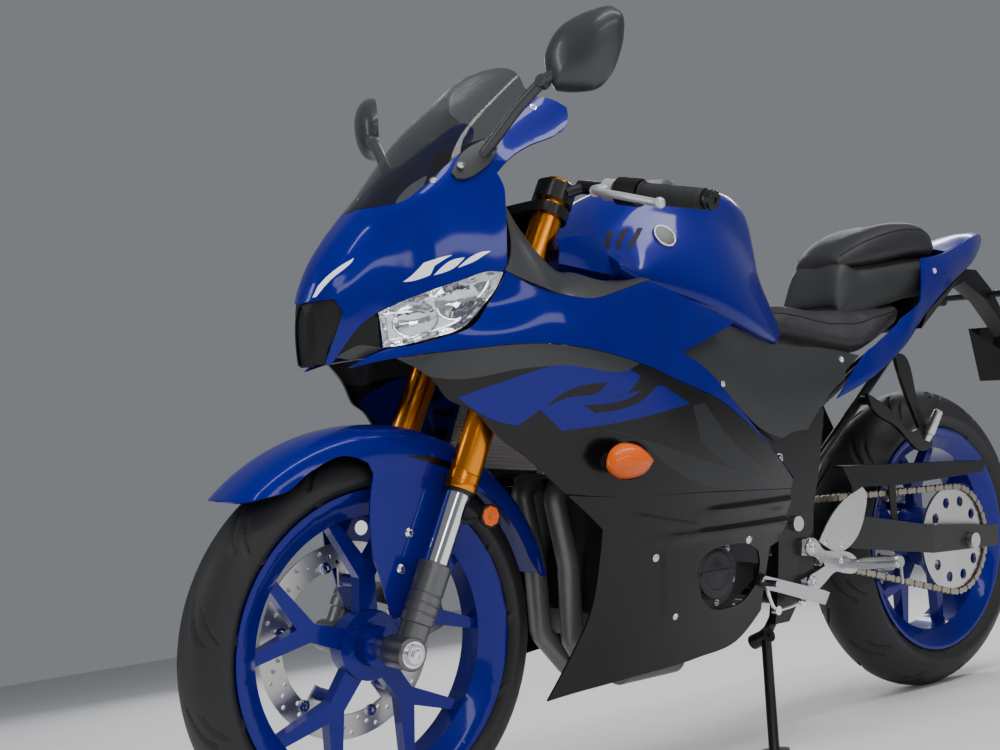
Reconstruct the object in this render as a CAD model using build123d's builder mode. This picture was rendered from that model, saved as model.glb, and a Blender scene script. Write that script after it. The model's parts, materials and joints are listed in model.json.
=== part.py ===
"""A middleweight sport motorcycle, parked on its side stand.

Everything is drawn upright first, in the machine's own frame: X forward, Y to the rider's left,
Z up, with the ground at Z = 0 and X = 0 midway between the axles. At the end each piece is leaned
on to the side stand and moved so that the origin is on the ground under the middle of the machine.
All lengths are in millimetres and all angles in degrees.
"""

import os
from math import asin, atan2, cos, degrees, pi, radians, sin

from build123d import *

os.makedirs("parts", exist_ok=True)

# ---------------------------------------------------------------- driving dimensions
WHEELBASE = 1380.0
LEAN = 10.0  # how far the parked machine leans to its left
RAKE = 25.0  # steering axis, back from vertical
TRAIL = 95.0
SEAT = 0.3  # gap between pieces that sit on each other
SEAM = 0.6  # gap between two panels
SKIN = 3.5  # thickness of a fairing panel

FRONT_TYRE_R = 292.0
FRONT_TYRE_W = 110.0
REAR_TYRE_R = 313.0
REAR_TYRE_W = 140.0
TYRE_WALL = 8.0
RIM_SEAT_R = 218.0
RIM_FLANGE_R = 232.0
RIM_WALL = 6.0
FLANGE_T = 6.5
FRONT_RIM_HALF_W = 38.0
REAR_RIM_HALF_W = 53.0
AXLE_R = 10.0

front_x = WHEELBASE / 2
rear_x = -WHEELBASE / 2

# ---------------------------------------------------------------- steering geometry
LEG_Y = 100.0
LEG_LEAD = 31.0  # the fork legs lie this far ahead of the steering axis
steer_foot = Vector(front_x + TRAIL, 0, 0)
steer_up = Vector(-sin(radians(RAKE)), 0, cos(radians(RAKE)))
steer_ahead = Vector(cos(radians(RAKE)), 0, sin(radians(RAKE)))


def on_axis(height, ahead=0.0, left=0.0):
    """The point at a height along the steering axis, so far ahead of it and to its left."""
    return steer_foot + steer_up * height + steer_ahead * ahead + Vector(0, left, 0)


def across_axis(height):
    """The plane square to the steering axis at a height along it, with its x pointing ahead."""
    return Plane(origin=on_axis(height), x_dir=steer_ahead, z_dir=steer_up)


def leg_height(z):
    """The height along the steering axis at which a fork leg is at the level z."""
    return (z - LEG_LEAD * steer_ahead.Z) / steer_up.Z


# ---------------------------------------------------------------- helpers
kept = {}


def keep(piece, label):
    """Names a finished piece and holds it for the export at the end."""
    piece.label = label
    kept[label] = piece


def rod(start, end, radius, bore=0.0, mode=Mode.ADD):
    """A round bar, or a tube with a bore, from start to end in the open part."""
    way = Vector(*end) - Vector(*start)
    with BuildSketch(Plane(origin=start, z_dir=way)) as face:
        Circle(radius)
        if bore:
            Circle(bore, mode=Mode.SUBTRACT)
    extrude(face.sketch, amount=way.length, mode=mode)


def bent_rod(points, radius, bend):
    """A round bar along points, with its corners rounded to the radius bend."""
    with BuildLine() as path:
        FilletPolyline(*points, radius=bend)
    with BuildSketch(Plane(origin=path.line @ 0, z_dir=path.line % 0)) as face:
        Circle(radius)
    sweep(face.sketch, path=path.line)


def plate(outline, y_low, y_high, mode=Mode.ADD):
    """A flat plate with an outline of (x, z) points, between two values of y."""
    with BuildSketch(Plane.XZ.offset(-y_high)) as face:
        with BuildLine():
            Polyline(*outline, close=True)
        make_face()
    extrude(face.sketch, amount=y_high - y_low, mode=mode)


def wheel_disc(centre, radius, y_low, y_high, mode=Mode.ADD):
    """A round plate about a point (x, z), between two values of y."""
    with BuildSketch(Plane.XZ.offset(-y_high)) as face:
        with Locations(centre):
            Circle(radius)
    extrude(face.sketch, amount=y_high - y_low, mode=mode)


def lofted(table, closed_section):
    """A body with flat or ruled faces through the cross sections that closed_section makes."""
    faces = []
    for x, *row in table:
        with BuildSketch(Plane(origin=(x, 0, 0), x_dir=(0, 1, 0), z_dir=(1, 0, 0))) as face:
            with BuildLine():
                Polyline(*closed_section(row), close=True)
            make_face()
        faces.append(face.sketch)
    loft(faces, ruled=True)


def strip(outer, inner):
    """A section function: a line of (y, z) points, thickened inwards from outer to inner depth."""

    def closed(points):
        corners = [Vector(y, z) for y, z in points]
        normals = []
        for a, b in zip(corners, corners[1:]):
            along = (b - a).normalized()
            normals.append(Vector(along.Y, -along.X))
        lines = []
        for depth in (outer, inner):
            line = []
            for i, corner in enumerate(corners):
                before = normals[max(i - 1, 0)]
                after = normals[min(i, len(normals) - 1)]
                mitre = (before + after) / (1 + before.dot(after))
                line.append(corner + mitre * depth)
            lines.append(line)
        return [(p.X, p.Y) for p in [*lines[0], *reversed(lines[1])]]

    return closed


def mirrored(points):
    """A section function: (y, z) points of the left half, from top to bottom, closed by mirroring."""
    right = [(-y, z) for y, z in reversed(points) if y > 0]
    return [*points, *right]


def skin_y(table, x, z):
    """How far to the left the panels' outer surface lies at (x, z)."""

    def across(points):
        for (y1, z1), (y2, z2) in zip(points, points[1:]):
            if z2 <= z <= z1:
                return y1 + (y2 - y1) * (z1 - z) / (z1 - z2)
        return points[-1][0]

    for (x1, *row1), (x2, *row2) in zip(table, table[1:]):
        if x2 <= x <= x1:
            share = (x1 - x) / (x1 - x2)
            return across(row1) * (1 - share) + across(row2) * share
    raise ValueError("outside the table")


def peg(x, z, y_foot, table, radius=8.0):
    """A mounting peg from y_foot out into the panel whose outer surface the table gives."""
    rod((x, y_foot, z), (x, skin_y(table, x, z) - SKIN / 2, z), radius)


def tyre_crown(radius, width):
    """The shoulder radius of a tyre and the radius of its crown across."""
    shoulder = radius - 0.38 * width
    drop = radius - shoulder
    return shoulder, (width**2 / 4 + drop**2) / (2 * drop)


# ---------------------------------------------------------------- wheels
SPOKES = 5
ARM_TURN = 18.0  # where the first arm points
SPOKE_HALF_T = 11.0
FRONT_HUB_R = 30.0
FRONT_HUB_HALF_W = 44.0
REAR_HUB_R = 40.0
REAR_HUB_HALF_W = 50.0
FRONT_DISC_R = 149.0
FRONT_DISC_IN_R = 112.0
FRONT_LUG_R = 82.0
FRONT_DISC_Y = -54.0
REAR_DISC_R = 110.0
REAR_DISC_IN_R = 78.0
REAR_LUG_R = 54.0
REAR_DISC_Y = -66.0
DISC_T = 4.5
SPROCKET_R = 112.5
SPROCKET_Y = 92.0
SPROCKET_T = 6.0
CARRIER_R = 58.0
CHAIN_PITCH = 15.875
CHAIN_W = 17.0
CHAIN_HALF_H = 7.5
SPROCKET_TEETH = 43
PINION_TEETH = 14
PINION_AT = (-55.0, 400.0)
FINE = 0.7  # running gap round the sprocket's teeth


def tyre(radius, width, rim_half_w):
    """A hollow tyre, open towards its rim, about the Y axis."""
    half = width / 2
    shoulder = tyre_crown(radius, width)[0]
    bead = rim_half_w - SEAT
    foot = RIM_SEAT_R + SEAT
    with BuildPart() as ring:
        with BuildSketch(Plane.XY):
            with BuildLine():
                ThreePointArc((shoulder, half), (radius, 0), (shoulder, -half))
                Polyline((shoulder, -half), (RIM_FLANGE_R + SEAT, -bead), (foot, -bead),
                         (foot, TYRE_WALL - bead), (shoulder, TYRE_WALL - half))
                ThreePointArc((shoulder, TYRE_WALL - half), (radius - TYRE_WALL, 0),
                              (shoulder, half - TYRE_WALL))
                Polyline((shoulder, half - TYRE_WALL), (foot, bead - TYRE_WALL), (foot, bead),
                         (RIM_FLANGE_R + SEAT, bead), (shoulder, half))
            make_face()
        revolve(axis=Axis.Y)
    return ring.part


def rim(half_w, hub_r, hub_half_w, posts_r, posts_y):
    """A cast wheel about the Y axis: barrel, hub, forked arms, and posts for its brake disc."""
    out = half_w + FLANGE_T
    well_r = RIM_SEAT_R - 20.0
    well_half_w = half_w - 14.0
    fork_r = 100.0
    arm_half_w = 17.0
    branch_half_w = 8.0
    spread = 17.0  # degrees from an arm's middle to each of its two ends
    end_r = well_r - RIM_WALL / 2
    tips = [Vector(end_r * cos(radians(a)), end_r * sin(radians(a))) for a in (-spread, spread)]
    side = [Vector(-tip.Y, tip.X).normalized() * branch_half_w for tip in tips]
    edge = [tips[0] - side[0], tips[0] + side[0], tips[1] - side[1], tips[1] + side[1]]
    edge = [(p.X, p.Y) for p in edge]
    with BuildPart() as wheel:
        with BuildSketch(Plane.XY):
            with BuildLine():
                left = [(RIM_SEAT_R, half_w), (RIM_FLANGE_R, half_w), (RIM_FLANGE_R, out),
                        (RIM_FLANGE_R - RIM_WALL, out), (RIM_SEAT_R - RIM_WALL, half_w - 2.0),
                        (well_r - RIM_WALL, well_half_w - 3.0)]
                right = [(r, -y) for r, y in reversed(left)]
                Polyline(*left, *right, (well_r, -well_half_w), (well_r, well_half_w), close=True)
            make_face()
        revolve(axis=Axis.Y)
        with BuildSketch(mode=Mode.PRIVATE) as arm:
            with BuildLine():
                Polyline((hub_r - 4.0, -arm_half_w), (fork_r, -0.8 * arm_half_w), edge[0], edge[1],
                         (fork_r + 26.0, 0), edge[2], edge[3], (fork_r, 0.8 * arm_half_w),
                         (hub_r - 4.0, arm_half_w), close=True)
            make_face()
        with BuildSketch(Plane.XZ):
            with PolarLocations(0, SPOKES, start_angle=ARM_TURN):
                add(arm.sketch)
        extrude(amount=SPOKE_HALF_T, both=True)
        wheel_disc((0, 0), hub_r + 22.0, -SPOKE_HALF_T - 5.0, SPOKE_HALF_T + 5.0)
        wheel_disc((0, 0), hub_r, -hub_half_w, hub_half_w)
        with BuildSketch(Plane.XZ):
            with PolarLocations(posts_r, SPOKES, start_angle=ARM_TURN):
                Circle(10.0)
        extrude(amount=-posts_y)
        wheel_disc((0, 0), AXLE_R + SEAT, -hub_half_w, hub_half_w, mode=Mode.SUBTRACT)
    return wheel.part


def brake_disc(radius, inner_r, lug_r, y):
    """A drilled disc about the Y axis, with five lugs that reach in to its posts."""
    rings = [(radius - 9.0, 0), ((radius + inner_r) / 2, 6), (inner_r + 8.0, 12)]
    with BuildPart() as disc:
        with BuildSketch(Plane.XZ.offset(-y - DISC_T / 2)):
            Circle(radius)
            Circle(inner_r, mode=Mode.SUBTRACT)
            with PolarLocations((inner_r + lug_r) / 2 + 2.0, SPOKES, start_angle=ARM_TURN):
                Rectangle(inner_r - lug_r + 6.0, 24.0)
            for ring_r, turn in rings:
                with PolarLocations(ring_r, 4 * SPOKES, start_angle=turn):
                    Circle(3.5, mode=Mode.SUBTRACT)
        extrude(amount=DISC_T)
    return disc.part


def pitch_r(teeth):
    """The pitch radius of a chain wheel."""
    return CHAIN_PITCH / (2 * sin(pi / teeth))


front_hub = Location((front_x, 0, FRONT_TYRE_R))
rear_hub = Location((rear_x, 0, REAR_TYRE_R))
keep(tyre(FRONT_TYRE_R, FRONT_TYRE_W, FRONT_RIM_HALF_W).moved(front_hub), "front_tyre")
keep(rim(FRONT_RIM_HALF_W, FRONT_HUB_R, FRONT_HUB_HALF_W, FRONT_LUG_R + 8.0,
         FRONT_DISC_Y + DISC_T / 2 + SEAT).moved(front_hub), "front_rim")
keep(brake_disc(FRONT_DISC_R, FRONT_DISC_IN_R, FRONT_LUG_R, FRONT_DISC_Y).moved(front_hub),
     "front_brake_disc")
keep(tyre(REAR_TYRE_R, REAR_TYRE_W, REAR_RIM_HALF_W).moved(rear_hub), "rear_tyre")
keep(rim(REAR_RIM_HALF_W, REAR_HUB_R, REAR_HUB_HALF_W, REAR_LUG_R + 8.0,
         REAR_DISC_Y + DISC_T / 2 + SEAT).moved(rear_hub), "rear_rim")
keep(brake_disc(REAR_DISC_R, REAR_DISC_IN_R, REAR_LUG_R, REAR_DISC_Y).moved(rear_hub),
     "rear_brake_disc")

sprocket_out_y = SPROCKET_Y + SPROCKET_T / 2
with BuildPart() as rear_sprocket:
    with BuildSketch(Plane.XZ.offset(-sprocket_out_y)):
        Circle(SPROCKET_R)
        with PolarLocations(80.0, 10):
            Circle(11.0, mode=Mode.SUBTRACT)
    extrude(amount=SPROCKET_T)
    wheel_disc((0, 0), CARRIER_R, REAR_HUB_HALF_W + SEAT, sprocket_out_y)
    wheel_disc((0, 0), AXLE_R + SEAT, 0, sprocket_out_y, mode=Mode.SUBTRACT)
keep(rear_sprocket.part.moved(rear_hub), "rear_sprocket")


def chain_band(reach, y_low, y_high, mode=Mode.ADD):
    """The area inside the chain's pitch line, grown by reach, between two values of y."""
    wheels = [((rear_x, REAR_TYRE_R), pitch_r(SPROCKET_TEETH) + reach),
              (PINION_AT, pitch_r(PINION_TEETH) + reach)]
    (x1, z1), r1 = wheels[0]
    (x2, z2), r2 = wheels[1]
    span = Vector(x2 - x1, z2 - z1)
    slope = degrees(atan2(span.Y, span.X))
    lead = degrees(asin((r1 - r2) / span.length))  # how far the straight runs close in on each other
    top, low = radians(slope + 90 - lead), radians(slope - 90 + lead)
    back, nose = radians(slope + 180), radians(slope)

    def at(x, z, r, angle):
        return x + r * cos(angle), z + r * sin(angle)

    with BuildSketch(Plane.XZ.offset(-y_high)) as face:
        with BuildLine():
            Line(at(x1, z1, r1, top), at(x2, z2, r2, top))
            ThreePointArc(at(x2, z2, r2, top), at(x2, z2, r2, nose), at(x2, z2, r2, low))
            Line(at(x2, z2, r2, low), at(x1, z1, r1, low))
            ThreePointArc(at(x1, z1, r1, low), at(x1, z1, r1, back), at(x1, z1, r1, top))
        make_face()
    extrude(face.sketch, amount=y_high - y_low, mode=mode)


tooth_top = SPROCKET_R - pitch_r(SPROCKET_TEETH)
with BuildPart() as chain:
    chain_band(CHAIN_HALF_H, SPROCKET_Y - CHAIN_W / 2, SPROCKET_Y + CHAIN_W / 2)
    chain_band(-CHAIN_HALF_H, SPROCKET_Y - CHAIN_W / 2, SPROCKET_Y + CHAIN_W / 2, mode=Mode.SUBTRACT)
    chain_band(tooth_top + FINE, SPROCKET_Y - SPROCKET_T / 2 - FINE, sprocket_out_y + FINE,
               mode=Mode.SUBTRACT)
keep(chain.part, "drive_chain")

# ---------------------------------------------------------------- fork and what it carries
LEG_TUBE_R = 24.5
SLIDER_R = 18.5
FOOT_R = 25.0
LEG_TOP_Z = 985.0
TUBE_END_Z = 514.0
SLIDER_END_Z = 411.0
FOOT_END_Z = 330.0
LOW_CLAMP = (795.0, 823.0)  # heights along the steering axis
TOP_CLAMP = (1008.0, 1026.0)
CLIP = (1034.0, 1064.0)
STEM_R = 15.0
HEAD_TUBE_R = 30.0
HEAD_TUBE = (LOW_CLAMP[1] + 2.0, TOP_CLAMP[0] - 2.0)
HOLDER_R = 24.0
HOLDER_IN_Y = 74.0
HOLDER_OUT_Y = 126.0

with BuildPart() as fork_tubes:
    rod(on_axis(leg_height(TUBE_END_Z), LEG_LEAD, LEG_Y), on_axis(leg_height(LEG_TOP_Z), LEG_LEAD, LEG_Y),
        LEG_TUBE_R)
    mirror(about=Plane.XZ)
keep(fork_tubes.part, "fork_tubes")

with BuildPart() as fork_legs:
    seat_h = leg_height(TUBE_END_Z) - SEAT
    rod(on_axis(leg_height(SLIDER_END_Z), LEG_LEAD, LEG_Y), on_axis(seat_h, LEG_LEAD, LEG_Y), SLIDER_R)
    rod(on_axis(leg_height(FOOT_END_Z), LEG_LEAD, LEG_Y), on_axis(leg_height(SLIDER_END_Z), LEG_LEAD, LEG_Y),
        FOOT_R)
    rod(on_axis(leg_height(FRONT_TYRE_R), LEG_LEAD, LEG_Y),
        on_axis(leg_height(FOOT_END_Z), LEG_LEAD, LEG_Y), FOOT_R - 2.0)
    wheel_disc((front_x, FRONT_TYRE_R), HOLDER_R, HOLDER_IN_Y, HOLDER_OUT_Y)
    wheel_disc((front_x, FRONT_TYRE_R), AXLE_R + SEAT, HOLDER_IN_Y - 5.0, HOLDER_OUT_Y + 5.0,
               mode=Mode.SUBTRACT)
    mirror(about=Plane.XZ)
keep(fork_legs.part, "fork_legs")

with BuildPart() as front_axle:
    rod((front_x, -HOLDER_OUT_Y - 8.0, FRONT_TYRE_R), (front_x, HOLDER_OUT_Y + 4.0, FRONT_TYRE_R), AXLE_R)
    for y_low, y_high, r in ((FRONT_HUB_HALF_W + SEAT, HOLDER_IN_Y - SEAT, 16.0),
                             (-HOLDER_IN_Y + SEAT, -FRONT_HUB_HALF_W - SEAT, 16.0),
                             (HOLDER_OUT_Y + SEAT, HOLDER_OUT_Y + 8.0, 15.0),
                             (-HOLDER_OUT_Y - 10.0, -HOLDER_OUT_Y - SEAT, 15.0)):
        wheel_disc((front_x, FRONT_TYRE_R), r, y_low, y_high)
keep(front_axle.part, "front_axle")


def clamp_plate(heights, lug_r, centre_r, bore_r, stem_bore):
    """A fork clamp between two heights along the steering axis, bored for the legs."""
    low, high = heights
    with BuildSketch(across_axis(low)) as face:
        with BuildLine():
            Polyline((LEG_LEAD + lug_r, LEG_Y), (LEG_LEAD + lug_r, -LEG_Y), (LEG_LEAD - lug_r, -LEG_Y),
                     (-centre_r, 0), (LEG_LEAD - lug_r, LEG_Y), close=True)
        make_face()
        with Locations((LEG_LEAD, LEG_Y), (LEG_LEAD, -LEG_Y)):
            Circle(lug_r)
        Circle(centre_r)
        with Locations((LEG_LEAD, LEG_Y), (LEG_LEAD, -LEG_Y)):
            Circle(bore_r, mode=Mode.SUBTRACT)
        if stem_bore:
            Circle(stem_bore, mode=Mode.SUBTRACT)
    extrude(face.sketch, amount=high - low)


with BuildPart() as lower_clamp:
    clamp_plate(LOW_CLAMP, 32.0, 30.0, LEG_TUBE_R + SEAT, 0)
    rod(on_axis(LOW_CLAMP[0]), on_axis(TOP_CLAMP[1] + 8.0), STEM_R)

with BuildPart() as top_clamp:
    clamp_plate(TOP_CLAMP, 32.0, 28.0, LEG_TUBE_R + SEAT, STEM_R + SEAT)
with BuildPart() as fork_clamps:
    add(lower_clamp.part)
    add(top_clamp.part)
keep(fork_clamps.part, "fork_clamps")

BAR_R = 11.0
BAR_IN = Vector(340, 128, 976)
BAR_OUT = Vector(291, 350, 926)
bar_way = (BAR_OUT - BAR_IN).normalized()
GRIP_START = 120.0  # from the bar's inner end
SWITCH_START = 78.0
GRIP_R = 16.0


def on_bar(distance, ahead=0.0, up=0.0):
    """A point along the left handlebar from its inner end, moved ahead and up."""
    return BAR_IN + bar_way * distance + Vector(ahead, 0, up)


bar_length = (BAR_OUT - BAR_IN).length
with BuildPart() as handlebars:
    with BuildSketch(across_axis(CLIP[0])):
        with Locations((LEG_LEAD, LEG_Y)):
            Circle(LEG_TUBE_R + 8.0)
            Circle(LEG_TUBE_R + SEAT, mode=Mode.SUBTRACT)
    extrude(amount=CLIP[1] - CLIP[0])
    rod(on_bar(0), on_bar(bar_length), BAR_R)
    rod(on_axis(CLIP[0] + 14.0, LEG_LEAD, LEG_Y + LEG_TUBE_R + 3.0), on_bar(8.0), 9.0)
    rod(on_axis(CLIP[0] - 40.0, LEG_LEAD, LEG_Y), on_axis(CLIP[1] + 40.0, LEG_LEAD, LEG_Y),
        LEG_TUBE_R + SEAT, mode=Mode.SUBTRACT)
    mirror(about=Plane.XZ)
keep(handlebars.part, "handlebars")

with BuildPart() as grips:
    rod(on_bar(GRIP_START), on_bar(bar_length - 2.0), GRIP_R, BAR_R + SEAT)
    rod(on_bar(bar_length + SEAT), on_bar(bar_length + 16.0), GRIP_R - 1.0)
    mirror(about=Plane.XZ)
keep(grips.part, "grips")

with BuildPart() as switch_boxes:
    rod(on_bar(SWITCH_START), on_bar(GRIP_START - 2.0), 22.0, BAR_R + SEAT)
    mirror(about=Plane.XZ)
keep(switch_boxes.part, "switch_boxes")

LEVER_REACH = 46.0
with BuildPart() as levers:
    rod(on_bar(SWITCH_START - 26.0), on_bar(SWITCH_START - 6.0), 17.0, BAR_R + SEAT)
    rod(on_bar(SWITCH_START - 16.0, 16.0), on_bar(SWITCH_START - 8.0, LEVER_REACH - 2.0, -4.0), 9.0)
    bent_rod([on_bar(SWITCH_START - 12.0, LEVER_REACH - 6.0, -4.0),
              on_bar(SWITCH_START + 60.0, LEVER_REACH + 4.0, -8.0),
              on_bar(bar_length - 40.0, LEVER_REACH + 8.0, -12.0)], 6.0, 60.0)
    with Locations(on_bar(bar_length - 36.0, LEVER_REACH + 8.0, -12.0)):
        Sphere(9.0)
    mirror(about=Plane.XZ)
keep(levers.part, "levers")

FENDER_GAP = 26.0  # between the tread and the fender
FENDER_R = FRONT_TYRE_R + FENDER_GAP
FENDER_CROWN = 4.0  # how far the fender's middle stands out
FENDER_EDGE = 12.0  # how far its corners stand in
FENDER_HALF_W = 66.0
FENDER_DROP = 34.0
FENDER_FRONT = 52.0  # degrees about the axle, from straight ahead
FENDER_BACK = 164.0
fender_in_y = FENDER_HALF_W - SKIN


def leg_x(z):
    """Where a fork leg's middle is at the level z."""
    return on_axis(leg_height(z), LEG_LEAD).X


with BuildPart() as front_fender:
    with BuildSketch(Plane.XY):
        with BuildLine():
            Polyline((FENDER_R - FENDER_DROP, FENDER_HALF_W), (FENDER_R - FENDER_EDGE, FENDER_HALF_W),
                     (FENDER_R, FENDER_HALF_W - 22.0), (FENDER_R + FENDER_CROWN, 0),
                     (FENDER_R, 22.0 - FENDER_HALF_W), (FENDER_R - FENDER_EDGE, -FENDER_HALF_W),
                     (FENDER_R - FENDER_DROP, -FENDER_HALF_W), (FENDER_R - FENDER_DROP, -fender_in_y),
                     (FENDER_R - FENDER_EDGE - 1.5, -fender_in_y), (FENDER_R - SKIN, 24.0 - FENDER_HALF_W),
                     (FENDER_R + FENDER_CROWN - SKIN, 0), (FENDER_R - SKIN, FENDER_HALF_W - 24.0),
                     (FENDER_R - FENDER_EDGE - 1.5, fender_in_y), (FENDER_R - FENDER_DROP, fender_in_y),
                     close=True)
        make_face()
    revolve(axis=Axis.Y, revolution_arc=FENDER_BACK - FENDER_FRONT)
fender_ring = front_fender.part.rotate(Axis.Y, -FENDER_BACK).moved(front_hub)

# the side plates reach down beside the tyre: (x, z) about the axle
FENDER_SIDE = [(50, FENDER_R - 28), (18, FENDER_R - 60), (30, 190), (24, 132), (5, 73), (-11, 46), (-34, 62),
               (-84, 150), (-128, FENDER_R - 96), (-160, FENDER_R - 106), (-170, FENDER_R - 50)]
FENDER_BOLTS = [457.0, 406.0]  # levels of the two bolts on each side
with BuildPart() as front_fender:
    add(fender_ring)
    side = [(front_x + x, FRONT_TYRE_R + z) for x, z in FENDER_SIDE]
    plate(side, fender_in_y, FENDER_HALF_W)
    plate(side, -FENDER_HALF_W, -fender_in_y)
    for sign in (1, -1):
        for z in FENDER_BOLTS:
            slider_y = sign * (LEG_Y - (SLIDER_R if z > SLIDER_END_Z else FOOT_R) - SEAT)
            rod((leg_x(z), sign * (fender_in_y + 1), z), (leg_x(z), slider_y, z), 8.0)
keep(front_fender.part, "front_fender")

CALIPER_AT = 162.0  # degrees about the axle
CALIPER_R = 138.0
CALIPER_IN_Y = -34.0
CALIPER_OUT_Y = -LEG_Y + FOOT_R + 0.5
with BuildPart() as front_caliper:
    turn = radians(CALIPER_AT)
    middle = (front_x + CALIPER_R * cos(turn), FRONT_TYRE_R + CALIPER_R * sin(turn))
    with BuildSketch(Plane.XZ.offset(-CALIPER_IN_Y)):
        with Locations(Location((*middle, 0), (0, 0, CALIPER_AT))):
            Rectangle(54.0, 104.0)
    extrude(amount=CALIPER_IN_Y - CALIPER_OUT_Y)
    fillet(front_caliper.edges().filter_by(Axis.Y), radius=14.0)
    plate([(middle[0], middle[1] + 30), (leg_x(372), 372), (leg_x(352) + 6, 352), (middle[0], middle[1] - 20)],
          CALIPER_OUT_Y, CALIPER_OUT_Y + 6.0)
    wheel_disc((front_x, FRONT_TYRE_R), FRONT_DISC_R + 3.0, FRONT_DISC_Y - DISC_T / 2 - 5.0,
               FRONT_DISC_Y + DISC_T / 2 + 5.0, mode=Mode.SUBTRACT)
keep(front_caliper.part, "front_caliper")

# ---------------------------------------------------------------- panels' outer surfaces
# nose and windscreen: x, then (y, z) from the middle of the top outwards and down to the lower edge
NOSE = [
    (781, (0, 795), (8, 791), (14, 782), (18, 772), (20, 748), (18, 722), (14, 706)),
    (770, (0, 824), (16, 818), (27, 806), (32, 785), (33, 755), (31, 728), (26, 706)),
    (755, (0, 853), (22, 847), (36, 832), (42, 805), (44, 772), (42, 740), (36, 706)),
    (725, (0, 894), (30, 887), (48, 866), (58, 832), (61, 800), (60, 752), (52, 704)),
    (687, (0, 936), (32, 931), (52, 915), (70, 868), (76, 806), (73, 745), (66, 702)),
    (650, (0, 974), (48, 964), (79, 939), (94, 884), (103, 804), (97, 738), (84, 700)),
    (600, (0, 1026), (72, 1012), (105, 980), (126, 918), (139, 822), (133, 748), (114, 700)),
    (560, (0, 1068), (84, 1052), (113, 1012), (140, 934), (157, 832), (156, 780), (140, 706)),
    (528, (0, 1098), (88, 1080), (115, 1030), (148, 944), (167, 838), (167, 790), (158, 720)),
    (492, (0, 1128), (90, 1108), (114, 1054), (150, 990), (168, 900), (174, 822), (170, 740)),
    (449, (0, 1166), (91, 1142), (111, 1084), (148, 1024), (170, 930), (178, 850), (178, 760)),
    (400, (0, 1206), (92, 1176), (105, 1115), (145, 1052), (168, 970), (180, 880), (184, 790)),
    (355, (0, 1240), (92, 1208), (98, 1142), (136, 1088), (160, 1010), (178, 930), (184, 840)),
]
# sides: x, then (y, z) from the shoulder down to the belly
SIDE = [
    (742, (38, 860), (44, 790), (62, 706), (64, 640), (62, 560), (60, 490), (56, 400), (48, 250), (38, 170)),
    (690, (72, 860), (74, 790), (92, 716), (96, 640), (94, 560), (92, 490), (86, 400), (70, 250), (54, 170)),
    (620, (128, 860), (126, 790), (136, 722), (132, 640), (130, 560), (126, 490), (118, 400), (96, 250), (70, 170)),
    (555, (164, 860), (163, 790), (178, 726), (164, 640), (158, 560), (150, 490), (140, 400), (112, 250), (84, 170)),
    (480, (172, 860), (186, 800), (198, 728), (188, 640), (172, 560), (162, 490), (150, 400), (122, 250), (92, 170)),
    (400, (172, 860), (200, 794), (213, 715), (208, 640), (200, 560), (190, 490), (172, 400), (134, 250), (104, 170)),
    (320, (170, 860), (202, 800), (217, 700), (216, 630), (212, 560), (205, 490), (186, 400), (152, 250), (124, 170)),
    (220, (168, 860), (205, 806), (214, 690), (217, 620), (217, 555), (212, 488), (194, 400), (164, 260), (140, 180)),
    (120, (162, 860), (200, 775), (208, 690), (210, 610), (209, 545), (205, 482), (193, 400), (164, 270), (146, 190)),
    (20, (158, 860), (188, 760), (200, 680), (202, 600), (200, 535), (193, 478), (182, 400), (156, 280), (142, 200)),
    (-120, (141, 860), (167, 742), (181, 664), (179, 584), (174, 524), (167, 474), (157, 404), (144, 292), (131, 214)),
]
# (x, z) corners of the panels as seen from the side
SCREEN_LINE = [(690, 936), (647, 942), (617, 966), (571, 1006), (513, 1040), (462, 1076), (401, 1116)]
SCREEN_TOP = [(440, 1175), (422, 1131), (398, 1118)]
LAMP = [(690, 779), (654, 797), (593, 820), (552, 833), (531, 832), (545, 806), (558, 789), (587, 754),
        (627, 739), (659, 731), (684, 728)]
COWL_BACK = [(531, 834), (524, 842), (512, 942), (510, 958), (514, 984), (492, 1006), (456, 1028), (401, 1050),
             (380, 1062), (357, 1102), (366, 1113), (388, 1119)]
SHOULDER = [(740, 700), (707, 718), (684, 726), (659, 729), (627, 737), (586, 752), (556, 788), (543, 806),
            (528, 833), (505, 821), (426, 795), (389, 792), (330, 805), (268, 822), (183, 792), (120, 772),
            (71, 757), (140, 732), (213, 708), (155, 678), (95, 628), (35, 577), (-92, 484), (0, 548),
            (129, 629), (219, 661), (337, 700), (478, 725), (614, 719), (680, 712)]
FLANK = [(680, 711), (614, 718), (478, 724), (337, 699), (219, 660), (129, 628), (0, 547), (-86, 484),
         (-82, 468), (155, 482), (398, 494), (440, 500), (499, 555), (549, 591), (586, 632), (617, 649),
         (636, 678)]
BELLY = [(436, 497), (398, 493), (155, 481), (-82, 467), (-70, 420), (-54, 380), (-22, 372), (-16, 262),
         (43, 220), (146, 205), (312, 192), (430, 176), (405, 241), (383, 302), (375, 394), (376, 441)]
COVER_WINDOW = [(175, 357), (160, 385), (70, 388), (5, 372), (5, 320), (20, 290), (110, 280), (150, 300)]
MOUTH = [(0, 797), (40, 797), (52, 792), (34, 715), (28, 700), (0, 700)]


STAY_PEG = (640, 905)
STAY_PEG_Y = 40.0


def grown_down(line, gap):
    """The same (x, z) line, lowered by gap."""
    return [(x, z - gap) for x, z in line]


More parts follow.
